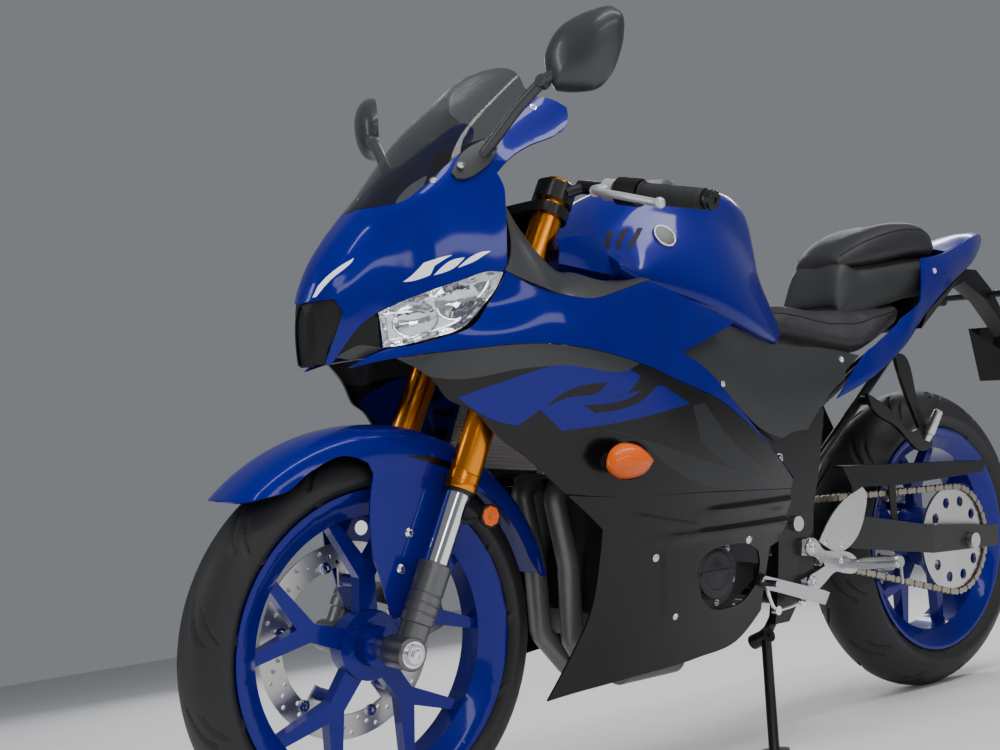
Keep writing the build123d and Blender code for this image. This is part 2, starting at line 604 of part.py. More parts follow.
with BuildPart() as upper_cowl:
    lofted(NOSE, strip(0, SKIN))
    outline = [(800, 690), (800, 930), *grown_down(SCREEN_LINE, SEAM), *reversed(COWL_BACK),
               *[(x, z + SEAM) for x, z in reversed(LAMP[:5])], (715, 762), (747, 714), (762, 690)]
    plate(outline, -5.0, 300.0, mode=Mode.INTERSECT)
    with BuildSketch(Plane(origin=(700, 0, 0), x_dir=(0, 1, 0), z_dir=(1, 0, 0))):
        with BuildLine():
            Polyline(*MOUTH, close=True)
        make_face()
    extrude(amount=100, mode=Mode.SUBTRACT)
    peg(*STAY_PEG, STAY_PEG_Y, NOSE, 9.0)
    mirror(about=Plane.XZ)
keep(upper_cowl.part, "upper_cowl")

with BuildPart() as windscreen:
    lofted(NOSE, strip(0, SKIN))
    plate([(692, 938), *SCREEN_LINE[1:], *reversed(SCREEN_TOP), (560, 1300), (720, 1000)], -5.0, 300.0,
          mode=Mode.INTERSECT)
    mirror(about=Plane.XZ)
keep(windscreen.part, "windscreen")

LAMP_ROWS = [(x, *row[2:]) for x, *row in NOSE if 480 < x < 730]
for part_name, depths in (("headlight_lenses", (0, SKIN)), ("headlight_reflectors", (SKIN + 1.0, 34.0))):
    with BuildPart() as lamp:
        lofted(LAMP_ROWS, strip(*depths))
        plate(LAMP, 30.0, 300.0, mode=Mode.INTERSECT)
        mirror(about=Plane.XZ)
    keep(lamp.part, part_name)

for part_name, outline in (("side_fairings", SHOULDER), ("middle_fairings", FLANK), ("lower_cowls", BELLY)):
    with BuildPart() as panel:
        lofted(SIDE, strip(0, SKIN))
        plate(outline, 0, 300.0, mode=Mode.INTERSECT)
        if outline is BELLY:
            plate(COVER_WINDOW, 0, 300.0, mode=Mode.SUBTRACT)
        mirror(about=Plane.XZ)
    keep(panel.part, part_name)

with BuildPart() as nose_duct:
    lofted([row for row in NOSE if 720 < row[0] < 775], strip(SKIN + SEAT, SKIN + SEAT + 2.5))
    with BuildSketch(Plane(origin=(700, 0, 0), x_dir=(0, 1, 0), z_dir=(1, 0, 0))):
        with BuildLine():
            Polyline(*[(y * 1.1, z + 3.0) for y, z in MOUTH[:3]], *MOUTH[3:], close=True)
        make_face()
    extrude(amount=100, mode=Mode.INTERSECT)
    mirror(about=Plane.XZ)
keep(nose_duct.part, "nose_duct")

# ---------------------------------------------------------------- frame and engine
SPAR_R = 18.0
SPAR = [(408, 14, 800), (335, 76, 774), (240, 118, 735), (20, 132, 640), (-110, 117, 560)]
PLATE_IN_Y = 109.0
PLATE_OUT_Y = 125.0
PIVOT = (-145.0, 398.0)
PIVOT_PLATE = [(-90, 585), (-40, 560), (36, 524), (36, 462), (-60, 446), (-104, 420), (-92, 290), (-80, 225),
               (-118, 225), (-150, 262), (-192, 300), (-200, 420), (-224, 500), (-244, 600), (-205, 622)]
PAD_END_Y = 152.0
PAD_AT = (270, 748)
BOLT_R = 9.0
ENGINE_HALF_W = 105.0
ENGINE_MAIN = [(5, 245), (245, 232), (300, 290), (300, 420), (335, 600), (215, 640), (165, 455), (5, 455)]
ENGINE_REAR = [(-85, 300), (5, 250), (5, 455), (-85, 440)]
LUG_AT = (20, 492)

stand_axis = Vector(0, cos(radians(26)), sin(radians(26)))
stand_down = Vector(0, sin(radians(26)), -cos(radians(26)))
STAND_SPLAY = 25.0  # how far the lowered stand leans ahead of straight down
STAND_PIVOT = Vector(-48, 120, 205)
STAND_LUG = 22.0

with BuildPart() as frame:
    rod(on_axis(HEAD_TUBE[0]), on_axis(HEAD_TUBE[1]), HEAD_TUBE_R)
    for sign in (1, -1):
        bent_rod([(x, sign * y, z) for x, y, z in SPAR], SPAR_R, 30.0)
        low_y, high_y = sorted((sign * PLATE_IN_Y, sign * PLATE_OUT_Y))
        plate(PIVOT_PLATE, low_y, high_y)
        lug_y, lug_end = sorted((sign * (ENGINE_HALF_W + SEAT), sign * (PLATE_IN_Y + 1)))
        wheel_disc(LUG_AT, 14.0, lug_y, lug_end)
        rod((150, sign * 112, 700), (150, sign * 112, 780.6), 8.0)
        rod((PAD_AT[0], sign * 108, PAD_AT[1]), (PAD_AT[0], sign * PAD_END_Y, PAD_AT[1]), 10.0)
    rod((-190, -PLATE_IN_Y - 1, 578), (-190, PLATE_IN_Y + 1, 578), 15.0)
    rod((-102, -PLATE_IN_Y - 1, 268), (-102, PLATE_IN_Y + 1, 268), 12.0)
    bent_rod([(-98, 114, 244), (-82, 107, 214), STAND_PIVOT - stand_axis * (STAND_LUG * 0.6)], 9.0, 8.0)
    rod(STAND_PIVOT - stand_axis * STAND_LUG, STAND_PIVOT, 13.0)
    rod(STAND_PIVOT - stand_axis * (STAND_LUG + 20), STAND_PIVOT + stand_axis * 20, 5.0 + SEAT, mode=Mode.SUBTRACT)
    rod(on_axis(HEAD_TUBE[0] - 5), on_axis(HEAD_TUBE[1] + 5), STEM_R + SEAT, mode=Mode.SUBTRACT)
    wheel_disc(PIVOT, BOLT_R + SEAT, -PLATE_OUT_Y - 1, PLATE_OUT_Y + 1, mode=Mode.SUBTRACT)
keep(frame.part, "frame")

with BuildPart() as engine_block:
    plate(ENGINE_MAIN, -ENGINE_HALF_W, ENGINE_HALF_W)
    plate(ENGINE_REAR, -75.0, 75.0)
keep(engine_block.part, "engine_block")

COVER_AT = (102, 342)
with BuildPart() as engine_covers:
    for sign, radius in ((1, 62.0), (-1, 66.0)):
        for r, low, high in ((radius, ENGINE_HALF_W + SEAT, 148.0), (radius - 18.0, 147.0, 160.0)):
            y_low, y_high = sorted((sign * low, sign * high))
            wheel_disc(COVER_AT, r, y_low, y_high)
    plate([(34, 452), (-90, 446), (-104, 350), (-60, 335), (34, 350)], ENGINE_HALF_W + SEAT, PLATE_IN_Y - SEAT)
keep(engine_covers.part, "engine_covers")

with BuildPart() as drive_sprocket:
    wheel_disc(PINION_AT, pitch_r(PINION_TEETH) + tooth_top - 1.0, SPROCKET_Y - SPROCKET_T / 2, sprocket_out_y)
    wheel_disc(PINION_AT, 16.0, 75.0 + SEAT, sprocket_out_y + 4.0)
keep(drive_sprocket.part, "drive_sprocket")

RADIATOR = [(448, 529), (385, 690), (359, 680), (422, 519)]
with BuildPart() as radiator:
    plate(RADIATOR, -140.0, 140.0)
    for sign in (1, -1):
        rod((334.8, sign * 88, 590), (396, sign * 88, 590), 6.0)
keep(radiator.part, "radiator")

PIPE_R = 19.0
MUFFLER_FRONT = Vector(-300, -172, 235)
MUFFLER_REAR = Vector(-640, -198, 322)
muffler_way = (MUFFLER_REAR - MUFFLER_FRONT).normalized()
with BuildPart() as exhaust_header:
    for sign in (1, -1):
        bent_rod([(316.7, 42 * sign, 504), (352, 42 * sign, 497.1), (326, 44 * sign, 372), (322, 40 * sign, 250),
                  (272, 28 * sign, 186), (190, 20 * sign, 184)], PIPE_R, 24.0)
    rod((192, 0, 184), (60, 0, 184), 38.0)
    bent_rod([(64, 0, 184), (-60, -30, 180), (-160, -130, 192), MUFFLER_FRONT - muffler_way * 70,
              MUFFLER_FRONT - muffler_way * SEAT], PIPE_R, 24.0)
keep(exhaust_header.part, "exhaust_header")

with BuildPart() as muffler:
    rod(MUFFLER_FRONT, MUFFLER_FRONT + muffler_way * 60, 36.0)
    rod(MUFFLER_FRONT + muffler_way * 30, MUFFLER_REAR, 47.0)
    rod(MUFFLER_REAR - muffler_way * 20, MUFFLER_REAR + muffler_way * 10, 22.0, mode=Mode.SUBTRACT)
keep(muffler.part, "muffler")

# ---------------------------------------------------------------- rear suspension
# x, inner y, outer y, bottom z, top z of the left arm
SWINGARM = [(-146, 82, 107, 376, 420), (-212, 82, 107, 358, 412), (-330, 94, 120, 332, 396), (-560, 107, 131, 300, 356),
            (-795, 107, 131, 291, 335)]


def box_section(row):
    """A section function: a rectangle from its two values of y and two of z."""
    y_in, y_out, z_low, z_high = row
    return [(y_in, z_low), (y_out, z_low), (y_out, z_high), (y_in, z_high)]


def arm_top(x):
    """The level of the swingarm's upper face at x."""
    for (x1, *row1), (x2, *row2) in zip(SWINGARM, SWINGARM[1:]):
        if x2 <= x <= x1:
            return row1[3] + (row2[3] - row1[3]) * (x1 - x) / (x1 - x2)
    raise ValueError("off the arm")


with BuildPart() as swingarm:
    lofted(SWINGARM, box_section)
    mirror(about=Plane.XZ)
    wheel_disc(PIVOT, 24.0, -107.0, 107.0)
    plate([(-200, 350), (-262, 335), (-262, 392), (-200, 404)], -90.0, 90.0)
    wheel_disc(PIVOT, BOLT_R + SEAT, -120.0, 120.0, mode=Mode.SUBTRACT)
    wheel_disc((rear_x, REAR_TYRE_R), AXLE_R + SEAT, -140.0, 140.0, mode=Mode.SUBTRACT)
keep(swingarm.part, "swingarm")

arm_in, arm_out = SWINGARM[-1][1], SWINGARM[-1][2]
with BuildPart() as swingarm_bolts:
    wheel_disc(PIVOT, BOLT_R, -PLATE_OUT_Y - 4.0, PLATE_OUT_Y + 4.0)
    wheel_disc(PIVOT, 14.0, PLATE_OUT_Y + SEAT, PLATE_OUT_Y + 10.0)
    wheel_disc(PIVOT, 14.0, -PLATE_OUT_Y - 10.0, -PLATE_OUT_Y - SEAT)
    wheel_disc((rear_x, REAR_TYRE_R), AXLE_R, -arm_out - 8.0, arm_out + 14.0)
    for y_low, y_high, r in ((sprocket_out_y + SEAT, arm_in - SEAT, 16.0),
                             (-arm_in + SEAT, -REAR_HUB_HALF_W - SEAT, 16.0),
                             (arm_out + SEAT, arm_out + 13.0, 16.0), (-arm_out - 13.0, -arm_out - SEAT, 16.0)):
        wheel_disc((rear_x, REAR_TYRE_R), r, y_low, y_high)
keep(swingarm_bolts.part, "pivot_bolt_and_rear_axle")

REAR_CALIPER_AT = 60.0
REAR_CALIPER_R = 103.0
with BuildPart() as rear_caliper:
    turn = radians(REAR_CALIPER_AT)
    middle = (rear_x + REAR_CALIPER_R * cos(turn), REAR_TYRE_R + REAR_CALIPER_R * sin(turn))
    with BuildSketch(Plane.XZ.offset(46.0)):
        with Locations(Location((*middle, 0), (0, 0, REAR_CALIPER_AT))):
            Rectangle(44.0, 84.0)
    extrude(amount=42.0)
    fillet(rear_caliper.edges().filter_by(Axis.Y), radius=10.0)
    plate([(middle[0] - 20, middle[1] + 10), (middle[0] + 24, middle[1] + 6), (middle[0] + 44, 330),
           (middle[0] + 4, 320)], -arm_in + SEAT, -86.0)
    wheel_disc((rear_x, REAR_TYRE_R), REAR_DISC_R + 3.0, REAR_DISC_Y - DISC_T / 2 - 5.0,
               REAR_DISC_Y + DISC_T / 2 + 5.0, mode=Mode.SUBTRACT)
keep(rear_caliper.part, "rear_caliper")

with BuildPart() as shock:
    rod((-230, 0, 403.8), (-214, 0, 470), 12.0)
    rod((-225, 0, 424), (-204, 0, 530), 30.0)
    rod((-206, 0, 520), (-194.6, 0, 562), 14.0)
keep(shock.part, "rear_shock")

with BuildPart() as chain_guard:
    plate([(-316, 490), (-800, 470), (-800, 466), (-316, 486)], 84.0, 106.0)
    skirt = [(-316, 488), (-800, 468), (-790, 446), (-480, 440), (-482, arm_top(-482) + SEAT),
             (-462, arm_top(-462) + SEAT), (-458, 442), (-372, 446), (-368, arm_top(-368) + SEAT),
             (-348, arm_top(-348) + SEAT), (-340, 450)]
    plate(skirt, 103.0, 106.0)
keep(chain_guard.part, "chain_guard")

RAIL_R = 11.0
rail_y = PLATE_IN_Y - SEAT - RAIL_R
RAIL = [(-212, rail_y, 590), (-262, rail_y, 612), (-380, 85, 668), (-600, 66, 757), (-870, 30, 912)]
STRUT = [(-205, rail_y, 470), (-250, rail_y, 502), (-560, 71, 722)]
STAY_H = 935.0
with BuildPart() as subframes:
    for sign in (1, -1):
        bent_rod([(x, sign * y, z) for x, y, z in RAIL], RAIL_R, 50.0)
        bent_rod([(x, sign * y, z) for x, y, z in STRUT], 9.0, 50.0)
        rod((-366, sign * 86, 662), (-366, sign * 86, 708 - SEAT), 8.0)
        rod((-640, sign * 61, 780), (-640, sign * 61, 823.3), 8.0)
        rod((-760, sign * 44, 831.6), (-760, sign * 44, 895), 7.0)
    rod((-600, -66, 757), (-600, 66, 757), 9.0)
    rod((-866, -30, 910), (-866, 30, 910), 8.0)
    bent_rod([on_axis(STAY_H, HEAD_TUBE_R + SEAT), on_axis(STAY_H, 150), (640, 0, 905)], 11.0, 60.0)
    rod((640, -40 + SEAT, 905), (640, 40 - SEAT, 905), 9.0)
    rod((493, 0, 900), (493, 0, 985 - SEAT), 9.0)
keep(subframes.part, "subframes")

# ---------------------------------------------------------------- tank, seats and tail
# x, then (y, z) of the left half from the top middle down
TANK = [
    (300, (0, 890), (85, 888), (138, 870), (156, 834), (120, 826)),
    (255, (0, 946), (85, 936), (124, 904), (160, 818), (122, 811)),
    (212, (0, 984), (90, 970), (126, 938), (163, 806), (124, 799)),
    (100, (0, 1008), (92, 995), (126, 941), (165, 777), (126, 770)),
    (0, (0, 1010), (88, 994), (114, 936), (156, 748), (118, 742)),
    (-80, (0, 1001), (76, 984), (94, 902), (136, 728), (104, 721)),
    (-125, (0, 981), (60, 962), (80, 868), (118, 722), (90, 716)),
    (-150, (0, 952), (44, 936), (66, 846), (104, 736), (80, 730)),
]
CAP_AT = (58.0, 0.0)
CAP_R = 42.0
CAP_Z = 1013.0
HINGE_X = CAP_AT[0] + CAP_R + 6.0
HINGE_Z = CAP_Z + 4.5
KNUCKLE_HALF_W = 8.0
with BuildPart() as fuel_tank:
    lofted(TANK, mirrored)
    with BuildSketch(Plane.XY.offset(980)):
        with Locations(CAP_AT):
            Circle(CAP_R + 5.0)
    extrude(amount=CAP_Z - 980)
    for sign in (1, -1):
        low_y, high_y = sorted((sign * (KNUCKLE_HALF_W + 1), sign * (KNUCKLE_HALF_W + 6)))
        plate([(HINGE_X - 6, 990), (HINGE_X + 6, 990), (HINGE_X + 6, HINGE_Z + 4), (HINGE_X - 3, HINGE_Z + 4)],
              low_y, high_y)
    wheel_disc((HINGE_X, HINGE_Z), 2.0 + SEAT, -30.0, 30.0, mode=Mode.SUBTRACT)

WING = [(402, (141, 890), (146, 874), (141, 851)), (351, (142, 898), (149, 874), (149, 842)),
        (300 + SEAM, (135, 894), (145, 869), (156, 834))]
with BuildPart() as tank_wings:
    lofted(WING, strip(0, 4.0))
    mirror(about=Plane.XZ)
with BuildPart() as tank_and_wings:
    add(fuel_tank.part)
    add(tank_wings.part)
keep(tank_and_wings.part, "fuel_tank")

with BuildPart() as fuel_cap:
    with BuildSketch(Plane.XY.offset(CAP_Z + SEAT)):
        with Locations(CAP_AT):
            Circle(CAP_R)
        with Locations((HINGE_X - 4, 0)):
            Rectangle(8.0, 2 * KNUCKLE_HALF_W)
    extrude(amount=7.0)
    wheel_disc((HINGE_X, HINGE_Z), 4.0, -KNUCKLE_HALF_W, KNUCKLE_HALF_W)
    wheel_disc((HINGE_X, HINGE_Z), 2.0, -KNUCKLE_HALF_W - 5.0, KNUCKLE_HALF_W + 5.0)
keep(fuel_cap.part, "fuel_cap")

INNER = [
    (530, (149, 944), (160, 872), (168, 836)),
    (512, (146, 942), (163, 872), (178, 824)),
    (488, (148, 908), (171, 856), (188, 814)),
    (426, (162, 838), (178, 824), (198, 793)),
    (389, (158, 836), (176, 820), (201, 791)),
    (320, (160, 824), (180, 819), (203, 802)),
    (262, (166, 829), (184, 828), (203, 822)),
]
INNER_OUTLINE = [(529, 834 + SEAM), (505, 821 + SEAM), (426, 795 + SEAM), (389, 792 + SEAM), (330, 805 + SEAM),
                 (262, 824 + SEAM), (262, 860), (440, 900), (511, 950), (523, 843)]
with BuildPart() as inner_panels:
    lofted(INNER, strip(0, SKIN))
    plate(INNER_OUTLINE, 0, 300.0, mode=Mode.INTERSECT)
    mirror(about=Plane.XZ)
keep(inner_panels.part, "inner_panels")

COVER = [
    (215, (190, 750), (200, 708), (198, 668)),
    (100, (164, 777), (196, 690), (195, 636)),
    (0, (152, 747), (186, 650), (184, 575)),
    (-100, (134, 722), (162, 640), (160, 555)),
    (-200, (126, 722), (146, 645), (143, 575)),
    (-356, (134, 705), (141, 668), (137, 645)),
]
COVER_OUTLINE = [(69, 756), (138, 731), (209, 707), (153, 679), (93, 629), (33, 578), (-28, 532), (-100, 562),
                 (-166, 566), (-266, 643), (-290, 655), (-296, 671), (-345, 699), (-250, 714), (-145, 719),
                 (-80, 726), (0, 746)]
with BuildPart() as side_covers:
    lofted(COVER, strip(0, SKIN))
    plate(COVER_OUTLINE, 0, 300.0, mode=Mode.INTERSECT)
    mirror(about=Plane.XZ)
keep(side_covers.part, "side_covers")

RIDER_SEAT = [
    (-151, (0, 799), (60, 796), (86, 768), (80, 744)),
    (-214, (0, 790), (72, 788), (104, 746), (94, 729)),
    (-300, (0, 778), (86, 776), (128, 724), (112, 712)),
    (-366, (0, 778), (92, 776), (136, 719), (118, 708)),
    (-450, (0, 786), (92, 784), (120, 748), (104, 728)),
    (-520, (0, 799), (86, 797), (98, 778), (86, 754)),
    (-560, (0, 810), (78, 808), (86, 794), (76, 771)),
]
PILLION_BASE = [
    (-368, (0, 800), (56, 798), (70, 784), (66, 781)),
    (-392, (0, 868), (58, 862), (76, 800), (72, 783)),
    (-450, (0, 880), (62, 874), (82, 812), (76, 789)),
    (-520, (0, 890), (66, 884), (84, 828), (78, 803)),
    (-562, (0, 896), (68, 890), (86, 836), (80, 813)),
    (-640, (0, 904), (68, 898), (88, 848), (80, 825)),
    (-700, (0, 906), (66, 900), (82, 862), (72, 846)),
]
PILLION_SEAT = [
    (-388, (0, 892), (40, 886), (56, 876), (54, 869)),
    (-430, (0, 922), (58, 912), (76, 890), (72, 877.3)),
    (-520, (0, 958), (74, 946), (92, 908), (86, 891.3)),
    (-600, (0, 970), (78, 960), (94, 916), (88, 902.5)),
    (-680, (0, 966), (72, 956), (84, 922), (78, 906)),
    (-730, (0, 944), (52, 936), (62, 918), (56, 907)),
]
for part_name, tables in (("seats", (RIDER_SEAT, PILLION_SEAT)), ("pillion_base", (PILLION_BASE,))):
    with BuildPart() as pads:
        for table in tables:
            lofted(table, mirrored)
    keep(pads.part, part_name)

TAIL = [
    (-272, (126, 700), (134, 640), (129, 600)),
    (-366, (138, 708), (143, 668), (137, 630)),
    (-450, (125, 742), (132, 705), (125, 655)),
    (-520, (112, 776), (123, 745), (113, 690)),
    (-613, (98, 898), (108, 845), (99, 765)),
    (-707, (88, 912), (97, 872), (86, 815)),
    (-800, (67, 936), (76, 905), (64, 850)),
    (-900, (43, 963), (49, 938), (39, 895)),
    (-974, (13, 975), (17, 962), (12, 940)),
]
TAIL_OUTLINE = [(-274, 619), (-366, 706), (-450, 740), (-520, 774), (-586, 806), (-613, 897), (-707, 911),
                (-800, 935), (-900, 962), (-972, 974), (-974, 950), (-900, 912), (-707, 834), (-496, 709)]
TAIL_TOP = [(-734, (0, 930), (48, 926), (78.3, 917.5)), (-800, (0, 948), (42, 944), (63.4, 934.5)),
            (-900, (0, 971), (24, 968), (39.4, 961.5)), (-966, (0, 977), (5, 976.4), (12.5, 972.5))]
TRAY = [(-640, (0, 758), (72, 758), (88, 790)), (-707, (0, 797), (63, 797), (82, 826)),
        (-800, (0, 850), (50, 850), (62, 866)), (-895, (0, 896), (22, 896), (34, 904))]
with BuildPart() as tail_cowls:
    lofted(TAIL, strip(0, SKIN))
    plate(TAIL_OUTLINE, 0, 300.0, mode=Mode.INTERSECT)
    lofted(TAIL_TOP, strip(0, 4.0))
    mirror(about=Plane.XZ)
keep(tail_cowls.part, "tail_cowls")

with BuildPart() as tail_tray:
    lofted(TRAY, strip(0, 4.0))
    mirror(about=Plane.XZ)
keep(tail_tray.part, "tail_tray")

TAIL_LIGHT = [(-904, (0, 967), (22, 963.6), (33, 955), (30, 914)),
              (-964, (0, 972.4), (5, 971.8), (9, 966), (7, 948))]
with BuildPart() as tail_light:
    lofted(TAIL_LIGHT, mirrored)
keep(tail_light.part, "tail_light")

BRACKET_HALF_W = 21.0
PLATE_HALF_W = 85.0
with BuildPart() as plate_bracket:
    plate([(-812, 851.4), (-893, 890.6), (-940, 890), (-1000, 846), (-1080, 745), (-1070, 740), (-975, 822),
           (-890, 862), (-816, 838)], -BRACKET_HALF_W, BRACKET_HALF_W)
    plate([(-1070, 765), (-1108, 640), (-1104, 638), (-1066, 763)], -PLATE_HALF_W, PLATE_HALF_W)
keep(plate_bracket.part, "plate_bracket")

# ---------------------------------------------------------------- fittings
with BuildPart() as footrests:
    plate([(-132, 372), (-120, 300), (-134, 250), (-172, 250), (-188, 296), (-258, 298), (-286, 322),
           (-262, 345), (-205, 366)], PLATE_OUT_Y + SEAT, PLATE_OUT_Y + 9.0)
    plate([(-296, 456), (-252, 444), (-198, 352), (-285, 338)], PLATE_OUT_Y + 6.0, PLATE_OUT_Y + 9.0)
    rod((-266, PLATE_OUT_Y + 2.0, 314), (-272, 240, 327), 9.0)
    wheel_disc(PIVOT, 16.0, PLATE_OUT_Y - 5.0, PLATE_OUT_Y + 20.0, mode=Mode.SUBTRACT)
    plate([(-385, 628), (-392, 600), (-566, 503), (-592, 517), (-500, 703), (-474, 703), (-552, 547)],
          113.0, 121.0)
    rod((-398, 95.2, 612), (-398, 116, 612), 9.0)
    rod((-486, 86.9, 698), (-486, 116, 698), 8.0)
    rod((-568, 118, 526), (-576, 150, 592), 9.0)
    mirror(about=Plane.XZ)
keep(footrests.part, "footrests")

with BuildPart() as foot_levers:
    plate([(-166, 276), (-152, 256), (0, 302), (14, 318), (4, 326), (-150, 282)], 174.0, 180.0)
    rod((-152, PLATE_OUT_Y + 9.0 + SEAT, 268), (-152, 176, 268), 8.0)
    rod((5, 178, 314), (5, 208, 314), 6.0)
    mirror(about=Plane.XZ)
keep(foot_levers.part, "foot_levers")

with BuildPart() as nose_cutter:
    lofted(NOSE, strip(-SEAT, SKIN))

with BuildPart() as instrument:
    plate([(508, 985), (478, 985), (452, 1042), (474, 1054)], -72.0, 72.0)
keep(instrument.part, "instrument")

MIRROR_AT = Vector(476, 240, 1092)
with BuildPart() as mirrors:
    bent_rod([(532, 112, 1000), (520, 150, 1030), (500, 206, 1086), (488, 250, 1108)], 9.0, 20.0)
    add(nose_cutter.part, mode=Mode.SUBTRACT)
    with BuildSketch(Plane(origin=MIRROR_AT, x_dir=(-0.45, 0.893, 0), z_dir=(0.893, 0.45, 0))):
        with BuildLine():
            Polyline((0, 0), (-12, 42), (12, 84), (60, 102), (100, 100), (106, 58), (82, 4), (48, -10), close=True)
        make_face()
    extrude(amount=28.0, taper=14)
    mirror(about=Plane.XZ)
keep(mirrors.part, "mirrors")

SIGNAL_AT = (367, 546)
with BuildPart() as side_cutter:
    lofted(SIDE, strip(-SEAT, SKIN))
with BuildPart() as indicators:
    rod((SIGNAL_AT[0] + 8, 190, SIGNAL_AT[1]), (SIGNAL_AT[0] + 8, 236, SIGNAL_AT[1]), 11.0)
    add(side_cutter.part, mode=Mode.SUBTRACT)
    plate([(SIGNAL_AT[0] + x, SIGNAL_AT[1] + z) for x, z in
           ((42, -4), (34, 18), (8, 27), (-22, 20), (-44, 2), (-30, -18), (4, -27), (32, -20))], 234.0, 262.0)
    rod((-985, BRACKET_HALF_W + SEAT, 835), (-985, 92, 835), 7.0)
    rod((-985, 90, 835), (-985, 140, 835), 17.0)
    mirror(about=Plane.XZ)
keep(indicators.part, "indicators")

REFLECTOR_AT = (545, 474)
with BuildPart() as reflectors:
    wheel_disc(REFLECTOR_AT, 18.0, 122.0, 130.0)
    rod((REFLECTOR_AT[0] + 4, 121, 474), (leg_x(474) - SLIDER_R + 2, LEG_Y, 474), 5.0)
    rod(on_axis(leg_height(TUBE_END_Z), LEG_LEAD, LEG_Y), on_axis(leg_height(SLIDER_END_Z), LEG_LEAD, LEG_Y),
        SLIDER_R + SEAT, mode=Mode.SUBTRACT)
    mirror(about=Plane.XZ)
keep(reflectors.part, "reflectors")

# ---------------------------------------------------------------- side stand
rise = tyre_crown(REAR_TYRE_R, REAR_TYRE_W)[1] * (1 - cos(radians(LEAN)))
floor_up = Vector(0, -sin(radians(LEAN)), cos(radians(LEAN)))
stand_way = Vector(1, 0, 0) * sin(radians(STAND_SPLAY)) + stand_down * cos(radians(STAND_SPLAY))
stand_root = STAND_PIVOT + stand_axis * 11.0
FOOT_T = 8.0
stand_length = (stand_root.dot(floor_up) + rise - FOOT_T / 2) / -stand_way.dot(floor_up)
stand_end = stand_root + stand_way * stand_length
with BuildPart() as side_stand:
    rod(STAND_PIVOT + stand_axis * SEAT, STAND_PIVOT + stand_axis * 20.0, 13.0)
    rod(STAND_PIVOT - stand_axis * (STAND_LUG + 6.0), STAND_PIVOT + stand_axis * 24.0, 5.0)
    rod(stand_root, stand_end, 9.0)
    rod(stand_end - floor_up * (FOOT_T / 2), stand_end + floor_up * (FOOT_T / 2), 26.0)
keep(side_stand.part, "side_stand")


# ---------------------------------------------------------------- leaned on to the stand
leaned = Location((0, 0, 0), (-LEAN, 0, 0))
corners = Compound([piece.moved(leaned) for piece in kept.values()]).bounding_box()
middle = corners.center()
stance = Location((-middle.X, -middle.Y, -corners.min.Z)) * leaned
for label, piece in kept.items():
    placed = piece.moved(stance)
    placed.label = label
    export_step(placed, f"parts/{label}.step")
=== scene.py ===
# %% [markdown]
# # A parked sport motorcycle
# This notebook dresses the CAD model of a fully faired sport motorcycle. The frame, wheels, engine and
# joints come packed from CAD and stay where they are. Painted panels, tyres, seats, lamps and the chain
# are drawn again here as smooth surfaces, because a faceted loft gives itself away in gloss paint.

# %% Load the CAD frame
import json
from math import atan2, cos, pi, radians, sin, sqrt

import bmesh
import bpy
import numpy as np
from mathutils import Matrix, Vector
from mathutils.bvhtree import BVHTree
from mathutils.geometry import delaunay_2d_cdt

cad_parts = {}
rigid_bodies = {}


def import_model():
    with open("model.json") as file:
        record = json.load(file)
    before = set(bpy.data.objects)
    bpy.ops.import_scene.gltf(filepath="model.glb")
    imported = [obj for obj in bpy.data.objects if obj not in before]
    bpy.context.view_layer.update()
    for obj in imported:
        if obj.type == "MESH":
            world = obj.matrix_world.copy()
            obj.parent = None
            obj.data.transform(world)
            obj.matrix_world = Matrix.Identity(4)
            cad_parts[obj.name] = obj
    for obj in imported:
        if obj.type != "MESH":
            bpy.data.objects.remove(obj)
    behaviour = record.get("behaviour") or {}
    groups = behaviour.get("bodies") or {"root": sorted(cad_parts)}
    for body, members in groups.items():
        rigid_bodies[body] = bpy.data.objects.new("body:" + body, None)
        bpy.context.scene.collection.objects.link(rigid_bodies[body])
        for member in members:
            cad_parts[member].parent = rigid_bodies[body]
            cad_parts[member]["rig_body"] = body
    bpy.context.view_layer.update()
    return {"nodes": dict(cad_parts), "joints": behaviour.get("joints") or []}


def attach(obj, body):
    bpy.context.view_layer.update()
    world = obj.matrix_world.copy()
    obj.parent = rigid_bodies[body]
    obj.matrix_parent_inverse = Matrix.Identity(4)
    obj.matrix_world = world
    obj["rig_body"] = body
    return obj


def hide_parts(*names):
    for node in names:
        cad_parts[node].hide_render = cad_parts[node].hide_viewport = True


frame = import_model()
nodes = frame["nodes"]
print("CAD nodes:", len(nodes))

# %% [markdown]
# ## The machine's own axes
# A motorcycle is easiest to describe standing upright: X forward, Y to the rider's left, Z up, in
# millimetres from the ground midway between the axles. The parked machine leans ten degrees on to its
# stand, so every point made here passes once through one turn and one shift.

# %% Upright millimetres to leaning metres
LEAN = radians(10.0)
FRONT_HUB = (690.0, 0.0, 292.0)
REAR_HUB = (-690.0, 0.0, 313.0)
lean = Matrix.Rotation(-LEAN, 4, "X")
joints = {joint["name"]: joint for joint in frame["joints"]}
origin = Vector(joints["rear_wheel_spin"]["pos_m"]) - lean @ (Vector(REAR_HUB) / 1000)
TURN = np.array(lean.to_3x3())


def parked(points):
    """Upright millimetres to world metres: divide by 1000, turn by the lean about X, then shift."""
    return np.asarray(points, float) / 1000 @ TURN.T + np.array(origin)


print("machine's ground point:", [round(c, 3) for c in origin])

# %% [markdown]
# ## Camera
# The camera stands ahead of the machine and to its left, at about the height of the flank panels.
# Its place is given in the machine's own axes, so it leans with the machine.

# %% Place the camera
def placed(name, data):
    """A new object in the scene that holds this camera, light or mesh."""
    thing = bpy.data.objects.new(name, data)
    bpy.context.scene.collection.objects.link(thing)
    return thing


